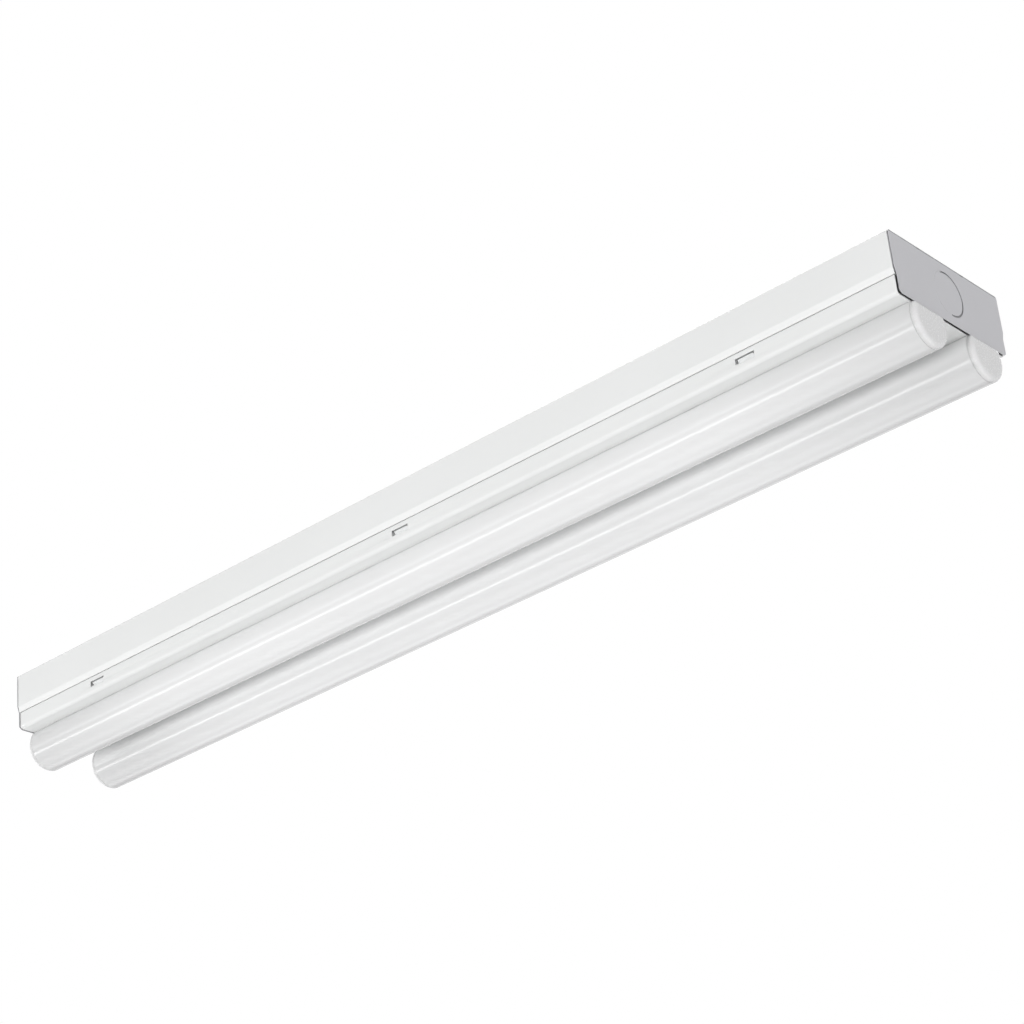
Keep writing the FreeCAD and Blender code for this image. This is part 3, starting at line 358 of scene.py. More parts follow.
def bare_edges_and_painted_shade(f):
    """How light an end plate's paint is: one where it is whole, down to a half on bare edges and in painted
    shade.

    The cut edges are bare steel, darker also as painted shade in the knockout's groove and round the outline.
    Along the edge on the ceiling lies an uneven half millimetre of painted shade, with two painted notch
    shadows.
    """
    def ramp(value, low, high, limits):
        return f.spread(value, low, high, limits[0] * MM, limits[1] * MM)

    place = f.node("SeparateXYZ", Vector=f.place).outputs
    uneven = f.sums("MULTIPLY_ADD", f.noise(160, 2), 0.6 * MM, place["Z"])
    # painted shade: an uneven dark line along the top edge
    shade = ramp(uneven, 1.0, 0.5, PAINTED_TOP_SHADE)
    out = f.sums("ABSOLUTE", place["X"])
    from_middle = f.sums("ABSOLUTE", f.sums("SUBTRACT", out, PLATE_MIDDLE * MM))
    # bare cut edges, whose darkening is also painted shade in the knockout's groove and round the outline
    shade = f.sums("MULTIPLY", shade, ramp(from_middle, 0.5, 1.0, BARE_EDGE_AND_PAINTED_SHADE))
    # painted shadows standing in for two notches in the top edge
    near_top = ramp(place["Z"], 0, 1, PAINTED_NOTCH_LEVELS)
    for spot in PAINTED_NOTCH_SHADOWS:
        away = f.sums("ABSOLUTE", f.sums("SUBTRACT", place["Y"], spot * MM))
        notch_shadow = f.sums("MULTIPLY", ramp(away, 0.45, 0.0, PAINTED_NOTCH_WIDTHS), near_top)
        shade = f.sums("MULTIPLY", shade, f.sums("SUBTRACT", 1.0, notch_shadow))
    return shade


def coat(name, first, second, roughness, peel_depth, sheared=False):
    """Sprayed paint: a faint drift in its colour, an uneven gloss and orange peel."""
    f = Finish(name, IOR=1.5)
    colour = f.blend(f.spread(f.noise(9, 3), 0, 1), first, second)
    # on an end plate the colour is darkened on its bare edges and by painted shade
    f.set("Base Color", f.scaled(colour, bare_edges_and_painted_shade(f)) if sheared else colour)
    f.set("Roughness", f.spread(f.noise(60, 2), roughness - 0.02, roughness + 0.02, 0.1, 0.9))
    f.bump(f.noise(620, 2), peel_depth)
    return f.material


def bare_metal(name, first, second, roughness, grain):
    """Plated or drawn metal: a mottled colour and a grain that runs along X."""
    f = Finish(name, Metallic=1.0)
    f.set("Base Color", f.blend(f.spread(f.noise(260, 4), 0, 1), first, second))
    f.set("Roughness", f.spread(f.noise(900, 2, (0.06, 1, 1)), roughness - 0.07, roughness + 0.09))
    f.bump(f.noise(1500, 2, (0.05, 1, 1)), grain)
    return f.material


def moulded(name, first, second, roughness, grain, **values):
    """Moulded plastic: a fine matt grain and slow flow marks."""
    f = Finish(name, **values)
    f.set("Base Color", f.blend(f.spread(f.noise(110, 3), 0, 1), first, second))
    f.set("Roughness", f.spread(f.noise(700, 2), roughness - 0.05, roughness + 0.06))
    f.bump(f.noise(2400, 2), grain)
    return f.material


# Where painted light fills the shade between the lenses: distances from the middle between both, and levels
PAINTED_GAP_ACROSS = (18, 25)
PAINTED_GAP_LEVELS = (-45.5, -38)


def frosted(name, first, second, roughness, shade, shade_from, shade_to, gap_painted_light=1.0):
    """Frosted acrylic: a fine grain, and faint lines along the way it was drawn through the die.

    Its colour goes smoothly to shade times itself between two distances from the light's middle: painted
    shade that makes a lens darker towards its ends, and painted light that makes a cap brighter towards its
    face than at its band, standing in for light coming through the acrylic. The upper side of each lens
    towards the other
    is painted brighter by a given factor: painted light in the shade between the two lenses.
    """
    f = Finish(name, IOR=1.49)

    def step(value, low, high, limits):
        return f.spread(value, low, high, limits[0] * MM, limits[1] * MM, "SMOOTHSTEP")

    colour = f.blend(f.spread(f.noise(40, 3, (0.2, 1, 1)), 0, 1), first, second)
    place = f.node("SeparateXYZ", Vector=f.place).outputs
    # painted shade towards a lens's ends, and painted light towards a cap's face
    painted_end_tone = step(f.sums("ABSOLUTE", place["X"]), 1.0, shade, (shade_from, shade_to))
    # painted light on the upper sides between the lenses, where their shade falls
    inside = step(f.sums("ABSOLUTE", place["Y"]), gap_painted_light - 1, 0.0, PAINTED_GAP_ACROSS)
    upper = step(place["Z"], 0.0, 1.0, PAINTED_GAP_LEVELS)
    lighter = f.sums("MULTIPLY_ADD", inside, upper, 1.0)
    f.set("Base Color", f.scaled(colour, f.sums("MULTIPLY", painted_end_tone, lighter)))
    lines = f.noise(420, 2, (0.01, 1, 1))
    f.set("Roughness", f.spread(f.noise(1200, 2), roughness - 0.03, roughness + 0.03))
    f.bump(f.sums("MULTIPLY_ADD", f.noise(3800, 2), 0.5, lines), 0.006)
    return f.material


def printed_board(name, mask, copper_mask, pitch, roughness):
    """A circuit board: solder mask over tracks, whose edges stand up a little."""
    f = Finish(name, IOR=1.5, Coat_Weight=0.25, Coat_Roughness=0.2)
    bricks = f.node("TexBrick", {"offset": 0.5}, Vector=f.place, Scale=1.0, Mortar_Size=0.0006,
                    Brick_Width=pitch * MM, Row_Height=0.0029, Mortar_Smooth=0.1)
    tracks = f.spread(bricks.outputs["Fac"], 0, 1, 0.2, 0.8)
    f.set("Base Color", f.blend(tracks, copper_mask, mask))
    f.set("Roughness", f.spread(f.noise(500, 3), roughness - 0.06, roughness + 0.08))
    f.bump(tracks, -0.03)
    return f.material


WHITE_PAINT = coat("white_powder_coat", (0.800, 0.808, 0.803), (0.822, 0.830, 0.826), 0.20, 0.004)
# The end plates' paint is a darker, bluish copy of the white coat: painted shade, as the plates face away
# from the light
SHADED_PLATE_PAINT = coat("white_powder_coat_painted_shade", (0.702, 0.700, 0.730), (0.722, 0.720, 0.750), 0.42, 0.005,
                   sheared=True)
SPRING_COAT = coat("white_coated_spring_steel", (0.80, 0.81, 0.81), (0.84, 0.85, 0.85), 0.33, 0.004)
ZINC = bare_metal("zinc_plated_steel", (0.58, 0.60, 0.62), (0.70, 0.71, 0.72), 0.36, 0.004)
DRIVER_STEEL = bare_metal("driver_case_galvanised", (0.52, 0.54, 0.56), (0.66, 0.67, 0.69), 0.42, 0.006)
DRIVER_BOARD = printed_board("driver_board_green_mask", (0.030, 0.135, 0.060), (0.050, 0.220, 0.090), 7, 0.40)
LED_BOARD = printed_board("led_board_white_mask", (0.80, 0.81, 0.79), (0.70, 0.71, 0.68), 16.3, 0.34)
NYLON = moulded("white_nylon", (0.74, 0.74, 0.71), (0.80, 0.80, 0.77), 0.45, 0.004, Subsurface_Weight=0.1,
                Subsurface_Radius=(1, 1, 1), Subsurface_Scale=0.0008)
FERRITE = moulded("dark_ferrite", (0.035, 0.034, 0.036), (0.060, 0.058, 0.060), 0.62, 0.012)
COIL_TAPE = moulded("yellow_coil_tape", (0.78, 0.60, 0.13), (0.84, 0.66, 0.18), 0.38, 0.010)
SLEEVE = moulded("capacitor_sleeve", (0.025, 0.035, 0.075), (0.040, 0.050, 0.105), 0.30, 0.003)
GREEN_SCREW = bare_metal("green_dyed_screw", (0.03, 0.26, 0.09), (0.05, 0.34, 0.13), 0.34, 0.004)
TINNED = bare_metal("tinned_copper", (0.66, 0.65, 0.62), (0.76, 0.75, 0.72), 0.30, 0.004)
PHOSPHOR = moulded("led_phosphor", (0.86, 0.74, 0.24), (0.92, 0.82, 0.34), 0.50, 0.006)
GREEN_WIRE = moulded("green_wire_insulation", (0.02, 0.27, 0.07), (0.03, 0.34, 0.10), 0.34, 0.004)
BLACK_WIRE = moulded("black_wire_insulation", (0.022, 0.022, 0.023), (0.035, 0.035, 0.036), 0.36, 0.004)
WHITE_WIRE = moulded("white_wire_insulation", (0.72, 0.72, 0.70), (0.79, 0.79, 0.77), 0.34, 0.004)
RED_WIRE = moulded("red_wire_insulation", (0.52, 0.025, 0.02), (0.62, 0.04, 0.03), 0.34, 0.004)
# The lenses get painted shade towards their ends, and painted light between each other
LENS = frosted("frosted_acrylic_lens", (0.778, 0.780, 0.782), (0.806, 0.808, 0.810), 0.18,
               0.84, 160, 330, gap_painted_light=1.25)
# The caps get painted light towards their faces, standing in for light through the acrylic
CAP = frosted("frosted_acrylic_cap", (0.63, 0.63, 0.633), (0.65, 0.65, 0.653), 0.26, 1.45, 303.6, CAP_FACE)


# Channel housing

MOUNT_HOLES = 190.5
SUPPLY_HOLE_PLACE = -90
PLATE_RIVETS = (299.5, 25)
DRIVER_SCREWS = (28, 162)
BLOCK_SCREW = (-29, 4)
GROUND_SCREW = (14.5, 24)
CHANNEL_SECTION = [(44.7, -0.3), (44.7, -19.6), (43.87, -22.93)]
CHANNEL_BENDS = [1.1, 0.7]


def channel_holes():
    """Round holes in the channel's top: centre, radius, and half the square that each lies in."""
    sides = (-1, 1)
    holes = [(side * MOUNT_HOLES, 0, *MOUNT_HOLE) for side in sides]
    holes += [(SUPPLY_HOLE_PLACE, 0, *SUPPLY_HOLE)]
    holes += [(end * PLATE_RIVETS[0], side * PLATE_RIVETS[1], *RIVET_HOLE) for end in sides for side in sides]
    holes += [(x, side * STRAP_RIVET_LINE, *RIVET_HOLE) for x in STRAPS.values() for side in sides]
    holes += [(x, 0, *SCREW_HOLE) for x in DRIVER_SCREWS]
    return holes + [(*BLOCK_SCREW, *BLOCK_SCREW_HOLE), (*GROUND_SCREW, *SCREW_HOLE)]


def make_channel_housing():
    """The channel: its blank with the round holes in its top, folded along its section."""
    path = mirrored_path(CHANNEL_SECTION, CHANNEL_BENDS)
    holes = channel_holes()
    x_lines = tidy_lines(end_lines(PLATE_INSIDE), *hole_lines(holes, 0))
    s_lines = tidy_lines(run_lines(lengths_along(path)), *hole_lines(holes, 1))
    flat, faces = blank(x_lines, s_lines, holes)
    make_piece("channel_housing_folded", *two_skins(*fold(flat, path, SHEET), faces), WHITE_PAINT, "root",
               "white_painted_steel", ["channel_housing"])


# Channel cover

COVER_SECTION = [(43.5, -32.7), (43.5, -23.35), (42.7, -22.75), (42.7, -14.0)]
COVER_BENDS = [1.7, 0.35, 0.35]
BOARD_SCREWS = (-260.8, -81.5, 81.5, 260.8)
CONNECTOR_HALVES = (4.2, 2.7)


def make_channel_cover():
    """The cover: its blank with slots, screw holes and the connectors' openings, folded along its section."""
    path = mirrored_path(COVER_SECTION, COVER_BENDS)
    run = lengths_along(path)
    # Where the slots' edges lie along the path, counted from the lowest point of the rear side's flat
    rear = (path[:, 0] > 43.49) & (path[:, 1] < -23.5)
    side_start, side_level = run[rear].min(), path[rear][np.argmin(run[rear]), 1]
    slot_runs = side_start + opening_lines(SLOT_BOTTOM, SLOT_TOP) - side_level
    low, high = slot_runs[1:3]
    holes = [(x, side * LENS_CENTRE, *RIVET_HOLE) for x in BOARD_SCREWS for side in (-1, 1)]
    openings = []
    x_lines = [end_lines(COVER_END), *hole_lines(holes, 0)]
    s_lines = [run_lines(run), slot_runs, -slot_runs, *hole_lines(holes, 1)]
    for x in STRAPS.values():
        x_lines.append(opening_lines(x - SLOT_HALF, x + SLOT_HALF))
        openings += [(x - SLOT_HALF, low, x + SLOT_HALF, high), (x - SLOT_HALF, -high, x + SLOT_HALF, -low)]
    half_x, half_y = CONNECTOR_HALVES
    for y in (-LENS_CENTRE, LENS_CENTRE):
        x_lines.append(opening_lines(CONNECTOR_PLACE - half_x, CONNECTOR_PLACE + half_x))
        s_lines.append(opening_lines(y - half_y, y + half_y))
        openings.append((CONNECTOR_PLACE - half_x, y - half_y, CONNECTOR_PLACE + half_x, y + half_y))
    flat, faces = blank(tidy_lines(*x_lines), tidy_lines(*s_lines), holes, openings)
    make_piece("channel_cover_folded", *two_skins(*fold(flat, path, SHEET), faces), WHITE_PAINT, "cover",
               "white_painted_steel", ["channel_cover"])


# End plates

PLATE_SHAPE = np.array([  # level, half width
    (0.0, 43.6), (-0.11, 44.16), (-0.41, 44.6), (-0.86, 44.89), (-1.4, 45.0), (-19.6, 45.0), (-23.5, 43.8),
    (-31.5, 43.8), (-31.75, 43.62), (-32.85, 42.05), (-33.0, 41.7)])
PLATE_THICKNESS = 0.8
PLATE_HALF = 45
PLATE_FOOT = -33.0
EDGE_ROUND = 0.12
EDGE_SLOPE = 0.75
SLOPE_CORE = 20.0
SLOPE_WIDE = 43.8
SLOPE_LEVEL = -29.9
SLOPE_RISE = 3.1
KNOCKOUT_LEVEL = -16.5
KNOCKOUT_RADIUS = 11.2
KNOCKOUT_REACH = 13.2
GROOVE_HALF = 0.45
GROOVE_DEPTH = 0.55
WEB_DEPTH = 0.02
CUT_MIDDLE = 10
CUT_HALF = 105
CUT_FADE = 25
TOP_TAB = ((295.0, -37.0, -1.4), (304.1, 37.0, -0.62))
SIDE_TABS = (((298.0, 43.6, -17.6), (304.1, 44.36, -2.0)), ((298.0, -44.36, -17.6), (304.1, -43.6, -2.0)))
TAB_CHAMFER = 0.12


def make_end_plate(name):
    """A plate across the channel's end, with its knockout and the tabs bent in from it.

    The blank is a grid across (Y) and up (Z), with a round patch for the knockout. Each row is drawn in to
    the plate's half width at its level. The sheared edge slopes: the inner skin is the outer one drawn in,
    y and z beyond a core by the same share all the way.
    """
    end = 1 if name == "right" else -1
    squares = KNOCKOUT_REACH * np.linspace(-1, 1, 33)
    levels = tidy_lines(PLATE_SHAPE[:, 0], [-0.02, -0.06, -EDGE_ROUND, -0.6, PLATE_FOOT + CHAMFER],
                        KNOCKOUT_LEVEL + squares)
    fixed = 30
    across = tidy_lines(squares, end_lines(PLATE_HALF), [-44.2, 44.2, -fixed, fixed])
    hole = (0, KNOCKOUT_LEVEL, KNOCKOUT_RADIUS + GROOVE_HALF, KNOCKOUT_REACH)
    flat, faces = blank(across, levels, [hole])
    y, z = flat.T.copy()
    half = np.interp(z, PLATE_SHAPE[::-1, 0], PLATE_SHAPE[::-1, 1])
    wide = np.abs(y) > fixed
    drawn = fixed + (np.abs(y) - fixed) * (half - fixed) / (PLATE_HALF - fixed)
    y[wide] = (np.sign(y) * drawn)[wide]
    middle = np.stack([np.full_like(y, HALF_LENGTH - PLATE_THICKNESS / 2), y, z], 1)
    offset = np.zeros_like(middle)
    offset[:, 0] = PLATE_THICKNESS / 2
    skins, sheet_faces = two_skins(middle, offset, faces)
    outer_skin = np.arange(len(skins)) < len(middle)
    # Round the top edge of the outer skin as a bend: x falls back along a quarter circle
    top = np.clip(skins[:, 2] + EDGE_ROUND, 0, EDGE_ROUND)
    skins[:, 0] -= np.where(outer_skin, EDGE_ROUND - np.sqrt(EDGE_ROUND ** 2 - top ** 2), 0)
    share = np.clip((np.abs(skins[:, 1]) - SLOPE_CORE) / (SLOPE_WIDE - SLOPE_CORE), 0, None)
    skins[:, 1] -= np.where(outer_skin, 0, np.sign(skins[:, 1]) * EDGE_SLOPE * share)
    low_share = np.clip((SLOPE_LEVEL - skins[:, 2]) / SLOPE_RISE, 0, None)
    skins[:, 2] += np.where(outer_skin, 0, EDGE_SLOPE * low_share)
    tabs = [tab_strip(*corners) for corners in (TOP_TAB, *SIDE_TABS)]
    points, all_faces = join_shells([(skins, sheet_faces), knockout_disc()] + tabs)
    if end < 0:
        points[:, 0] *= -1
        all_faces = [some[:, ::-1] for some in all_faces]
    make_piece(f"end_plate_{name}_pressed", points, all_faces, SHADED_PLATE_PAINT, "root", "white_painted_steel",
               [f"end_plate_{name}"])


def lathe(profile, centre, turns, move):
    """Rings about an axis along X: point = centre + radius * (cosine along Y, sine along Z), at its own x.

    profile has rows of x and radius, from the axis on the one side to the axis on the other. The first and
    the last ring have no radius: each is a pole, joined to its neighbour by triangles. move gives how far
    each point then moves along X.
    """
    angle = np.linspace(0, 2 * math.pi, turns, endpoint=False)
    x, radius = np.asarray(profile, float).T
    x = np.repeat(x[:, None], turns, 1)
    x = x + move(x, radius[:, None], angle[None])
    y = centre[0] + radius[:, None] * np.cos(angle)
    z = centre[1] + radius[:, None] * np.sin(angle)
    index = np.arange(len(radius) * turns).reshape(-1, turns)
    poles = np.concatenate([fan(index[1], index[0, 0], flip=True), fan(index[-2], index[-1, 0])])
    return np.stack([x, y, z], 2).reshape(-1, 3), [rings_to_quads(index[1:-1]), poles]


def knockout_disc():
    """The disc of the knockout with the web that holds it.

    Its outer face lies level with the plate. Between the disc and the plate is a groove: over one part of the
    turn it is cut deep, and over the rest the web is only pressed a little way in. The depth goes evenly
    from the one to the other.
    """
    inner, outer = KNOCKOUT_RADIUS - GROOVE_HALF, KNOCKOUT_RADIUS + GROOVE_HALF
    face, back = HALF_LENGTH, HALF_LENGTH - PLATE_THICKNESS
    profile = [(face, 0), (face, 6), (face, inner - 0.03), (face - 0.03, inner), (face - WEB_DEPTH, inner),
               (face - WEB_DEPTH, outer + 0.02), (back + 0.05, outer + 0.02), (back + 0.05, inner),
               (back, inner - CHAMFER), (back, 6), (back, 0)]

    def sink(x, radius, angle):
        turned = np.degrees(np.angle(np.exp(1j * (angle - math.radians(CUT_MIDDLE)))))
        open_share = np.clip((CUT_HALF - np.abs(turned)) / CUT_FADE, 0, 1)
        on_ring = np.abs(radius - KNOCKOUT_RADIUS) <= GROOVE_HALF + 0.03
        web = on_ring & (x < face - WEB_DEPTH / 2) & (x > back + 0.1)
        return np.where(web, -GROOVE_DEPTH * open_share, 0.0)

    return lathe(profile[::-1], (0, KNOCKOUT_LEVEL), 128, sink)


def tab_strip(low, high):
    """A flat bar: a closed loop of eight corners across it, carried along X and closed at both ends."""
    (x0, y0, z0), (x1, y1, z1) = low, high
    c = TAB_CHAMFER
    loop = np.array([(y0 + c, z0), (y1 - c, z0), (y1, z0 + c), (y1, z1 - c), (y1 - c, z1), (y0 + c, z1),
                     (y0, z1 - c), (y0, z0 + c)])
    points = np.concatenate([np.column_stack([np.full(8, x), loop]) for x in (x0, x1)])
    near = np.array([[0, 1, 2, 3], [0, 3, 4, 7], [4, 5, 6, 7]])
    return points, [rings_to_quads(np.arange(16).reshape(2, 8)), near[:, ::-1], near + 8]


# Straps

STRAP_SECTION = [(41.8, -0.9), (41.8, -27.6), (41.0, -29.8)]
STRAP_BENDS = [0.7, 0.8]
STRAP_HALF = 8.0
WINDOW_TOP = -25.0
TONGUE_ROOT = -28.4
TONGUE_HALF = 4.7
TONGUE_PLACE = 41.51
TONGUE_SLOPE = 0.3636
TONGUE_BEND = 0.075
TONGUE_RISE = (-0.25, 2.45)
CORNER_IN = 0.35
CORNER_START = 1.75
CORNER_HEIGHT = 0.7
CORNER_WIDTH = 0.2


def make_strap(name):
    """A spring-steel strap: a folded blank with a tongue at each slot, sprung out towards it.

    The tongue's middle line goes out by a quadratic of the height above its root: slope times the height,
    plus a bend times its square.
    """
    x = STRAPS[name]
    path = mirrored_path(STRAP_SECTION, STRAP_BENDS, 6)
    run = lengths_along(path)
    # The rear leg's levels against the distance along the path, for the window that the tongue stands in
    leg = np.argmax(path[:, 0] > 41.79)
    knee = (path[:, 0] > 41.0) & (path[:, 1] < -26)
    order = np.argsort(-path[knee, 1])
    levels = np.concatenate([path[leg:leg + 1, 1], path[knee, 1][order]])
    runs = np.concatenate([run[leg:leg + 1], run[knee][order]])
    low = np.interp(-WINDOW_TOP, -levels, runs)
    high = np.interp(-TONGUE_ROOT, -levels, runs)
    holes = [(x, side * STRAP_RIVET_LINE, *RIVET_HOLE) for side in (-1, 1)]
    x_lines = tidy_lines(x + end_lines(STRAP_HALF), opening_lines(x - SLOT_HALF, x + SLOT_HALF),
                         *hole_lines(holes, 0))
    edges = opening_lines(low, high)
    s_lines = tidy_lines(run_lines(run), edges, -edges, *hole_lines(holes, 1))
    openings = [(x - SLOT_HALF, low, x + SLOT_HALF, high), (x - SLOT_HALF, -high, x + SLOT_HALF, -low)]
    flat, faces = blank(x_lines, s_lines, holes, openings)
    shells = [two_skins(*fold(flat, path, SHEET), faces)]
    rise = np.linspace(*TONGUE_RISE, 12)
    out = TONGUE_PLACE + TONGUE_SLOPE * rise + TONGUE_BEND * np.maximum(rise, 0) ** 2
    tongue_path = np.column_stack([out, TONGUE_ROOT + rise])
    tongue_x = x + tidy_lines(end_lines(TONGUE_HALF), [-3.8, 3.8])
    for side in (-1, 1):
        flat, faces = blank(tongue_x, tidy_lines(run_lines(lengths_along(tongue_path))))
        middle, offset = fold(flat, tongue_path[::-side] * (side, 1), SHEET)
        # The free corners are rounded: near both edges x goes in by the square of the height near the tip
        tip = np.clip((middle[:, 2] - (TONGUE_ROOT + CORNER_START)) / CORNER_HEIGHT, 0, 1)
        edge = np.abs(middle[:, 0] - x) > TONGUE_HALF - CORNER_WIDTH
        middle[edge, 0] -= (np.sign(middle[:, 0] - x) * CORNER_IN * tip ** 2)[edge]
        shells.append(two_skins(middle, offset, faces))
    make_piece(f"cover_strap_{name}_sprung", *join_shells(shells), SPRING_COAT, "root", "spring_steel",
               [f"cover_strap_{name}"])


# Lenses and their caps

FOOT_END = 7.2
CAP_WALL = 1.4
CAP_HOLLOW = 5.5
PLUG_LENGTH = 6
PLUG_INSET = LENS_WALL + 0.05


def make_lens(name):
    """An extruded lens: a round wall 1.2 mm thick, and two feet turned in flat under the cover.

    Path = axis + middle radius * (cosine across, sine up), from the one foot's level round to the other's.
    """
    across = LENS_CENTRE * (1 if name == "rear" else -1)
    middle_radius = LENS_RADIUS - LENS_WALL / 2
    foot_level = LENS_TOP - LENS_WALL / 2
    corner_angle = math.asin((foot_level - LENS_AXIS) / middle_radius)
    angle = np.linspace(math.pi - corner_angle, 2 * math.pi + corner_angle, 121)
    arc = np.stack([middle_radius * np.cos(angle), LENS_AXIS + middle_radius * np.sin(angle)], 1)
    path = np.concatenate([[(-FOOT_END, foot_level)], arc, [(FOOT_END, foot_level)]])
    stations = tidy_lines(end_lines(LENS_END), np.linspace(-LENS_END, LENS_END, 25)[1:-1])
    flat, faces = blank(stations, tidy_lines(run_lines(lengths_along(path))))
    middle, offset = fold(flat, path + (across, 0), LENS_WALL)
    make_piece(f"lens_{name}_frosted", *two_skins(middle, offset, faces), LENS, "cover", "frosted_lens",
               [f"lens_{name}"], sharp=40)


def d_outline(inset):
    """The cap's outline, drawn in by an inset: most of a circle, and a flat top.

    Circle radius = lens radius less the inset. The flat is the cap's top less the inset, and the points on it
    are evenly spread between the circle's two ends.
    """
    radius = LENS_RADIUS - inset
    top = CAP_TOP - LENS_AXIS - inset
    corner = math.asin(min(top / radius, 1))
    angle = np.linspace(math.pi - corner, 2 * math.pi + corner, 112)
    arc = radius * np.stack([np.cos(angle), np.sin(angle)], 1)
    flat = np.linspace(arc[-1], arc[0], 26)[1:-1]
    return np.concatenate([arc, flat])


def make_cap(name, end_name):
    """A moulded cap: rings of its outline, from the middle of its hollow, over its rim and band to its face.

    Each ring has a place along the light and an inset: the plug that goes into the lens, the shoulder at the
    lens's end with a fine groove, the band, its rounded edge and the flat face. The edge is a quarter circle:
    place = face - edge + edge * sine, inset = edge * (1 - cosine).
    """
    end = 1 if end_name == "right" else -1
    across = LENS_CENTRE * (1 if name == "rear" else -1)
    floor, plug_end, inner = CAP_FACE - CAP_WALL, LENS_END - PLUG_LENGTH, PLUG_INSET + CAP_WALL
    turn = np.radians(np.linspace(0, 90, 15))
    rounded = np.stack([CAP_FACE - CAP_EDGE + CAP_EDGE * np.sin(turn), CAP_EDGE * (1 - np.cos(turn))], 1)
    rings = np.concatenate([
        [(floor, CAP_HOLLOW), (floor, inner + 0.6), (floor - 0.5, inner), (plug_end + 0.1, inner),
         (plug_end, inner - 0.1), (plug_end, PLUG_INSET + 0.25), (plug_end + 0.25, PLUG_INSET),
         (LENS_END + 0.02, PLUG_INSET), (LENS_END + 0.02, 0.22), (LENS_END + 0.12, 0.06),
         (LENS_END + 0.3, 0)],
        rounded,
        [(CAP_FACE, CAP_EDGE + 0.5), (CAP_FACE, 4.4), (CAP_FACE, CAP_HOLLOW)]])
    outlines = np.stack([d_outline(inset) for inset in rings[:, 1]])
    count = outlines.shape[1]
    grid = np.concatenate([np.repeat(rings[:, :1, None], count, 1), outlines + (across, LENS_AXIS)], 2)
    index = np.arange(len(rings) * count).reshape(-1, count)
    points = np.concatenate([grid.reshape(-1, 3), [grid[0].mean(0), grid[-1].mean(0)]])
    first, last = len(points) - 2, len(points) - 1
    faces = [rings_to_quads(index), np.concatenate([fan(index[0], first, flip=True), fan(index[-1], last)])]
    if end < 0:
        points[:, 0] *= -1
        faces = [some[:, ::-1] for some in faces]
    make_piece(f"lens_cap_{name}_{end_name}_moulded", points, faces, CAP, "cover", "frosted_cap",
               [f"lens_cap_{name}_{end_name}"], sharp=40)


# Wires

MAINS_WIRE = 1.1  # radii
LED_WIRE = 0.8
BLOCK_END = -24  # where the wires leave the supply block, the driver's input and its output
INPUT_END = 31
LED_WIRE_START = 159
CROSSING = ((0, 0, -0.0105), (0, 0, -0.028))  # in metres, from the driver down to the connectors


def smooth_line(corners):
    """Points of a smooth spline of order three that has the route's corners as its control points."""
    curve = bpy.data.curves.new("route", "CURVE")
    curve.dimensions = "3D"
    spline = curve.splines.new("NURBS")
    spline.points.add(len(corners) - 1)
    spline.points.foreach_set("co", np.column_stack([corners, np.ones(len(corners))]).ravel())
    spline.use_endpoint_u = True
    spline.order_u = 3
    spline.resolution_u = 24
    holder = bpy.data.objects.new("route", curve)
    line = bpy.data.meshes.new_from_object(holder)
    points = np.empty(len(line.vertices) * 3)
    line.vertices.foreach_get("co", points)
    bpy.data.objects.remove(holder)
    bpy.data.curves.remove(curve)
    bpy.data.meshes.remove(line)
    return points.reshape(-1, 3)


def tube(line, radius):
    """Rings square to a line, with flat ends.

    Point = line point + radius * (cosine along side + sine along up), sixteen a ring, where side is square to
    the line and to one fixed direction, and up is square to both.
    """
    tangent = np.gradient(line, axis=0)
    tangent /= np.linalg.norm(tangent, axis=1, keepdims=True)
    side = np.cross(tangent, (0.31, 0.93, 0.19))
    side /= np.linalg.norm(side, axis=1, keepdims=True)
    up = np.cross(tangent, side)
    angle = np.linspace(0, 2 * math.pi, 16, endpoint=False)
    rings = (line[:, None] + radius * (np.cos(angle)[None, :, None] * side[:, None]
                                       + np.sin(angle)[None, :, None] * up[:, None]))
    index = np.arange(len(line) * len(angle)).reshape(len(line), -1)
    points = np.concatenate([rings.reshape(-1, 3), line[:1], line[-1:]])
    first, last = len(points) - 2, len(points) - 1
    caps = np.concatenate([fan(index[0], first, flip=True), fan(index[-1], last)])
    return points, [rings_to_quads(index), caps]


def make_wires(node, slot, finish, radius, routes, crossing=None):
    """One tube for each route. With a crossing, the piece is left off any body and its placement baked into
    its mesh.
    """
    shells = [tube(smooth_line(np.array(corners, float)), radius) for corners in routes]
    body = None if crossing else "root"
    piece = make_piece(f"{node}_soft", *join_shells(shells), finish, body, slot, [node])
    if crossing:
        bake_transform(piece)


def make_all_wires():
    """Three wires from the supply block, and two led wires a side from the driver down to the boards."""
    level, end_level, ring_level, connector_level = -9.0, -10.5, -2.3, -28.1
    turn = BLOCK_END + 10
    for node, slot, finish, y, end_y in (("line_wire", "black_wire", BLACK_WIRE, -8, -2.5),
                                         ("neutral_wire", "white_wire", WHITE_WIRE, 0, 2.5)):
        make_wires(node, slot, finish, MAINS_WIRE,
                   [[(BLOCK_END, y, level), (turn, y, level), (INPUT_END - 10, end_y, end_level),
                     (INPUT_END, end_y, end_level)]])
    make_wires("ground_wire", "green_wire", GREEN_WIRE, MAINS_WIRE,
               [[(BLOCK_END, 8, level), (turn, 8, level), (-3, 24, ring_level), (7, 24, ring_level)]])
    for name, side in (("front", -1), ("rear", 1)):
        routes = []
        for order in (-1, 1):
            start_y, end_y = (4 - 2 * order) * side, LENS_CENTRE * side
            turn_x, end_x = LED_WIRE_START + 9 + 2 * order, CONNECTOR_PLACE + 2 * order
            routes.append([(LED_WIRE_START, start_y, end_level), (turn_x, start_y, end_level),
                           (end_x, end_y, end_level - 4 + order), (end_x, end_y, connector_level)])
        make_wires(f"led_wires_{name}", "red_wire", RED_WIRE, LED_WIRE, routes, CROSSING)


# The CAD's own pieces that stay, by what they are finished in

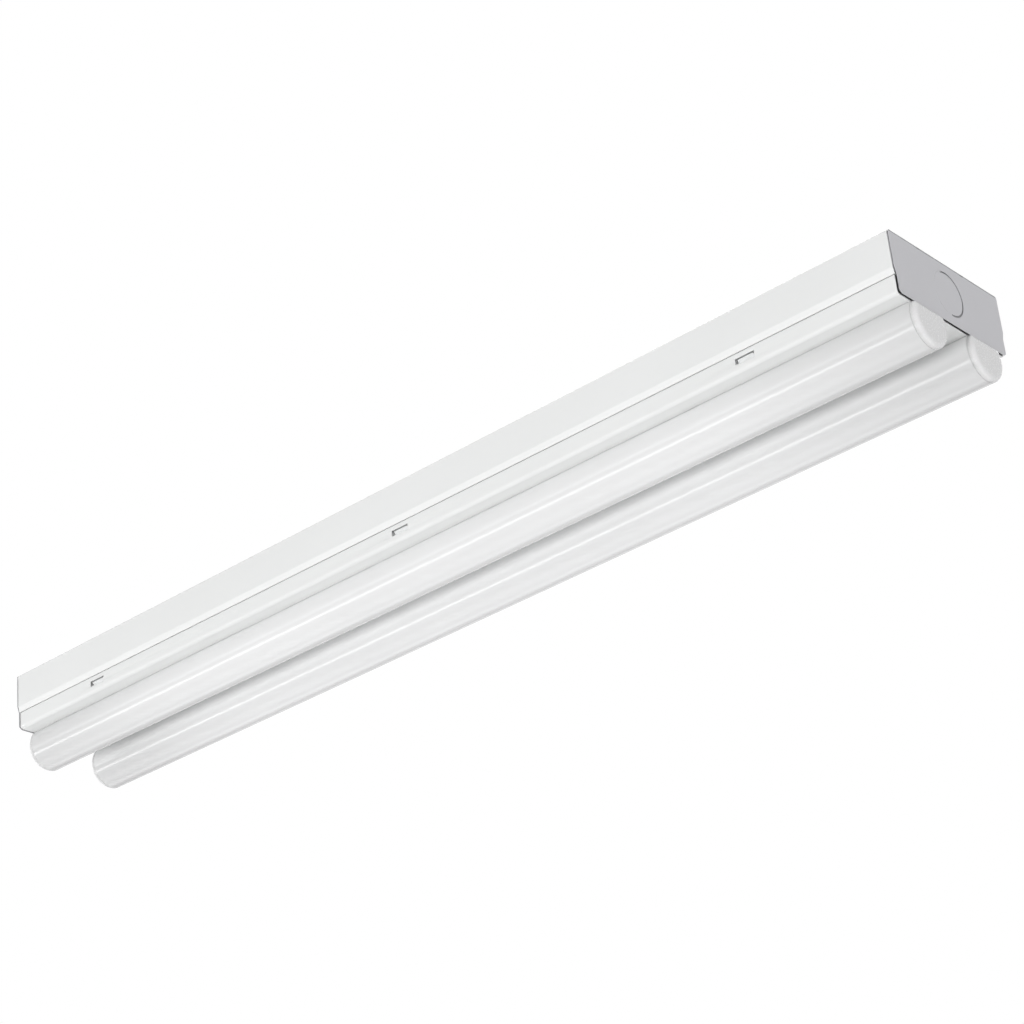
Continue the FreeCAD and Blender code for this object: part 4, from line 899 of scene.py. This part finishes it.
KEPT_NODES = [
    (ZINC, ["end_plate_rivets", "strap_rivets", "driver_screws", "supply_clamp_screws", "supply_block_screw",
            "board_screws"]),
    (DRIVER_STEEL, ["driver_base", "driver_cover"]),
    (DRIVER_BOARD, ["driver_board"]),
    (FERRITE, ["driver_transformer_core", "driver_choke"]),
    (COIL_TAPE, ["driver_transformer_coil"]),
    (SLEEVE, ["driver_capacitors"]),
    (NYLON, ["driver_standoffs", "driver_input_terminal", "driver_output_terminal", "supply_block",
             "board_connector_front", "board_connector_rear"]),
    (GREEN_SCREW, ["ground_screw"]),
    (TINNED, ["ground_ring"]),
    (WHITE_PAINT, ["lens_rail_front", "lens_rail_rear"]),
    (LED_BOARD, ["led_board_front", "led_board_rear"]),
    (PHOSPHOR, ["led_chips_front", "led_chips_rear"]),
]


def finish_kept_nodes():
    """Finish each kept piece in its own material."""
    for finish, names in KEPT_NODES:
        for name in names:
            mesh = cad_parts[name].data
            mesh.materials.clear()
            mesh.materials.append(finish)


# Floor, light and camera, in metres and degrees

FLOOR_HALF = 60.0
FLOOR_LEVEL = -3.8
PANELS_CENTRE = (-0.8, 0.0, -0.03)
PANELS_AWAY = 2.7
PANELS_LENGTH = 7.0
LONG_PANELS = [  # name, degrees below the front side's level, power, height
    ("front_softbox_above", -60, 8.0, 1.2),
    ("front_softbox_level", -5, 18.0, 0.4),
    ("front_softbox_key", 25, 57.0, 0.4),
    ("front_softbox_low", 42, 5.0, 0.4),
    ("softbox_below_front", 88, 17.0, 1.2),
    ("softbox_below_rear", 130, 26.0, 1.0),
]
CAMERA_PLACE = (0.8026, -0.9365, -0.6350)
CAMERA_TURNS = (39.28, 27.00, 5.67)
CAMERA_LENS = 93.30
CAMERA_SENSOR = 36


def floor_material(name, colour, lift):
    """A pale floor, lifted towards white for the camera alone, so that shadows stay on it."""
    f = Finish(name, Roughness=0.9, Emission_Color=(1, 1, 1, 1))
    f.set("Base Color", f.blend(f.noise(3, 2), colour, tuple(c * 0.985 for c in colour)))
    seen = f.tree.nodes.new("ShaderNodeLightPath").outputs["Is Camera Ray"]
    f.set("Emission Strength", f.sums("MULTIPLY", seen, lift))
    return f.material


def make_floor():
    """A plane of four squares far below the light, wide enough to reach the horizon from every side."""
    grid = np.linspace(-FLOOR_HALF, FLOOR_HALF, 3)
    points = np.stack(np.meshgrid(grid, grid, indexing="ij"), 2).reshape(-1, 2)
    index = np.arange(9).reshape(3, 3)
    faces = np.stack([index[:-1, :-1], index[1:, :-1], index[1:, 1:], index[:-1, 1:]], 2).reshape(-1, 4)
    mesh = bpy.data.meshes.new("floor")
    mesh.from_pydata(np.column_stack([points, np.full(9, FLOOR_LEVEL)]).tolist(), [], faces.tolist())
    mesh.materials.append(floor_material("pale_floor", (0.86, 0.86, 0.86), 0.56))
    floor = bpy.data.objects.new("floor", mesh)
    bpy.context.scene.collection.objects.link(floor)


def soft_light(name, place, target, width, height, power):
    """A white panel at a place, turned towards a target."""
    lamp = bpy.data.lights.new(name, "AREA")
    lamp.shape = "RECTANGLE"
    lamp.size, lamp.size_y = width, height
    lamp.energy = power
    panel = bpy.data.objects.new(name, lamp)
    bpy.context.scene.collection.objects.link(panel)
    panel.location = place
    panel.rotation_euler = (Vector(target) - Vector(place)).to_track_quat("-Z", "Y").to_euler()


def long_panel(name, below, power, height):
    """A panel 7 m long beside the light and level with its length, so that it lights both ends alike.

    It is 2.7 m away, some degrees below the front side's level, and reaches further towards the left end.
    """
    angle = math.radians(below)
    x, y, z = PANELS_CENTRE
    place = (x, y - PANELS_AWAY * math.cos(angle), z - PANELS_AWAY * math.sin(angle))
    soft_light(name, place, PANELS_CENTRE, PANELS_LENGTH, height, power)


def make_world(level):
    """White to the camera and in reflections, and a plain level as light."""
    world = bpy.data.worlds.new("studio")
    world.use_nodes = True
    bpy.context.scene.world = world
    tree = world.node_tree
    background = tree.nodes["Background"]
    background.inputs["Color"].default_value = (1, 1, 1, 1)
    path = tree.nodes.new("ShaderNodeLightPath")
    seen = path.outputs["Is Camera Ray"]
    for socket in ("Is Glossy Ray", "Is Transmission Ray"):
        both = tree.nodes.new("ShaderNodeMath")
        both.operation = "MAXIMUM"
        tree.links.new(seen, both.inputs[0])
        tree.links.new(path.outputs[socket], both.inputs[1])
        seen = both.outputs["Value"]
    strength = tree.nodes.new("ShaderNodeMapRange")
    strength.inputs["To Min"].default_value = level
    strength.inputs["To Max"].default_value = 1.0
    tree.links.new(seen, strength.inputs["Value"])
    tree.links.new(strength.outputs["Result"], background.inputs["Strength"])


def make_camera():
    """The camera stands low at the front right and looks up: its turns are azimuth, height and roll.

    Forward = (-sin azimuth cos up, cos azimuth cos up, sin up). The roll turns the level right and the up
    square to it: right = cos roll * level right - sin roll * level up.
    """
    azimuth, up, roll = (math.radians(a) for a in CAMERA_TURNS)
    forward = Vector((-math.sin(azimuth) * math.cos(up), math.cos(azimuth) * math.cos(up), math.sin(up)))
    level_right = Vector((math.cos(azimuth), math.sin(azimuth), 0))
    level_up = level_right.cross(forward)
    right = math.cos(roll) * level_right - math.sin(roll) * level_up
    above = math.cos(roll) * level_up + math.sin(roll) * level_right
    camera = bpy.data.objects.new("camera", bpy.data.cameras.new("camera"))
    camera.data.lens = CAMERA_LENS
    camera.data.sensor_width = CAMERA_SENSOR
    turn = Matrix((right, above, -forward)).transposed().to_4x4()
    turn.translation = CAMERA_PLACE
    camera.matrix_world = turn
    bpy.context.scene.collection.objects.link(camera)
    bpy.context.scene.camera = camera


make_channel_housing()
make_channel_cover()
for end_name in ("left", "right"):
    make_end_plate(end_name)
for strap_name in STRAPS:
    make_strap(strap_name)
for lens_name in ("front", "rear"):
    make_lens(lens_name)
    for end_name in ("left", "right"):
        make_cap(lens_name, end_name)
make_all_wires()
finish_kept_nodes()
make_floor()
make_world(0.42)
for panel in LONG_PANELS:
    long_panel(*panel)
soft_light("right_softbox", (2.9, 0, -1.9), (0.3, 0, -0.03), 2.0, 2.0, 8.0)
soft_light("rear_softbox", (-0.8, 2.2, 1.8), (-0.8, 0, -0.03), 2.0, 1.0, 40.0)
make_camera()
bpy.context.scene.view_settings.view_transform = "Standard"
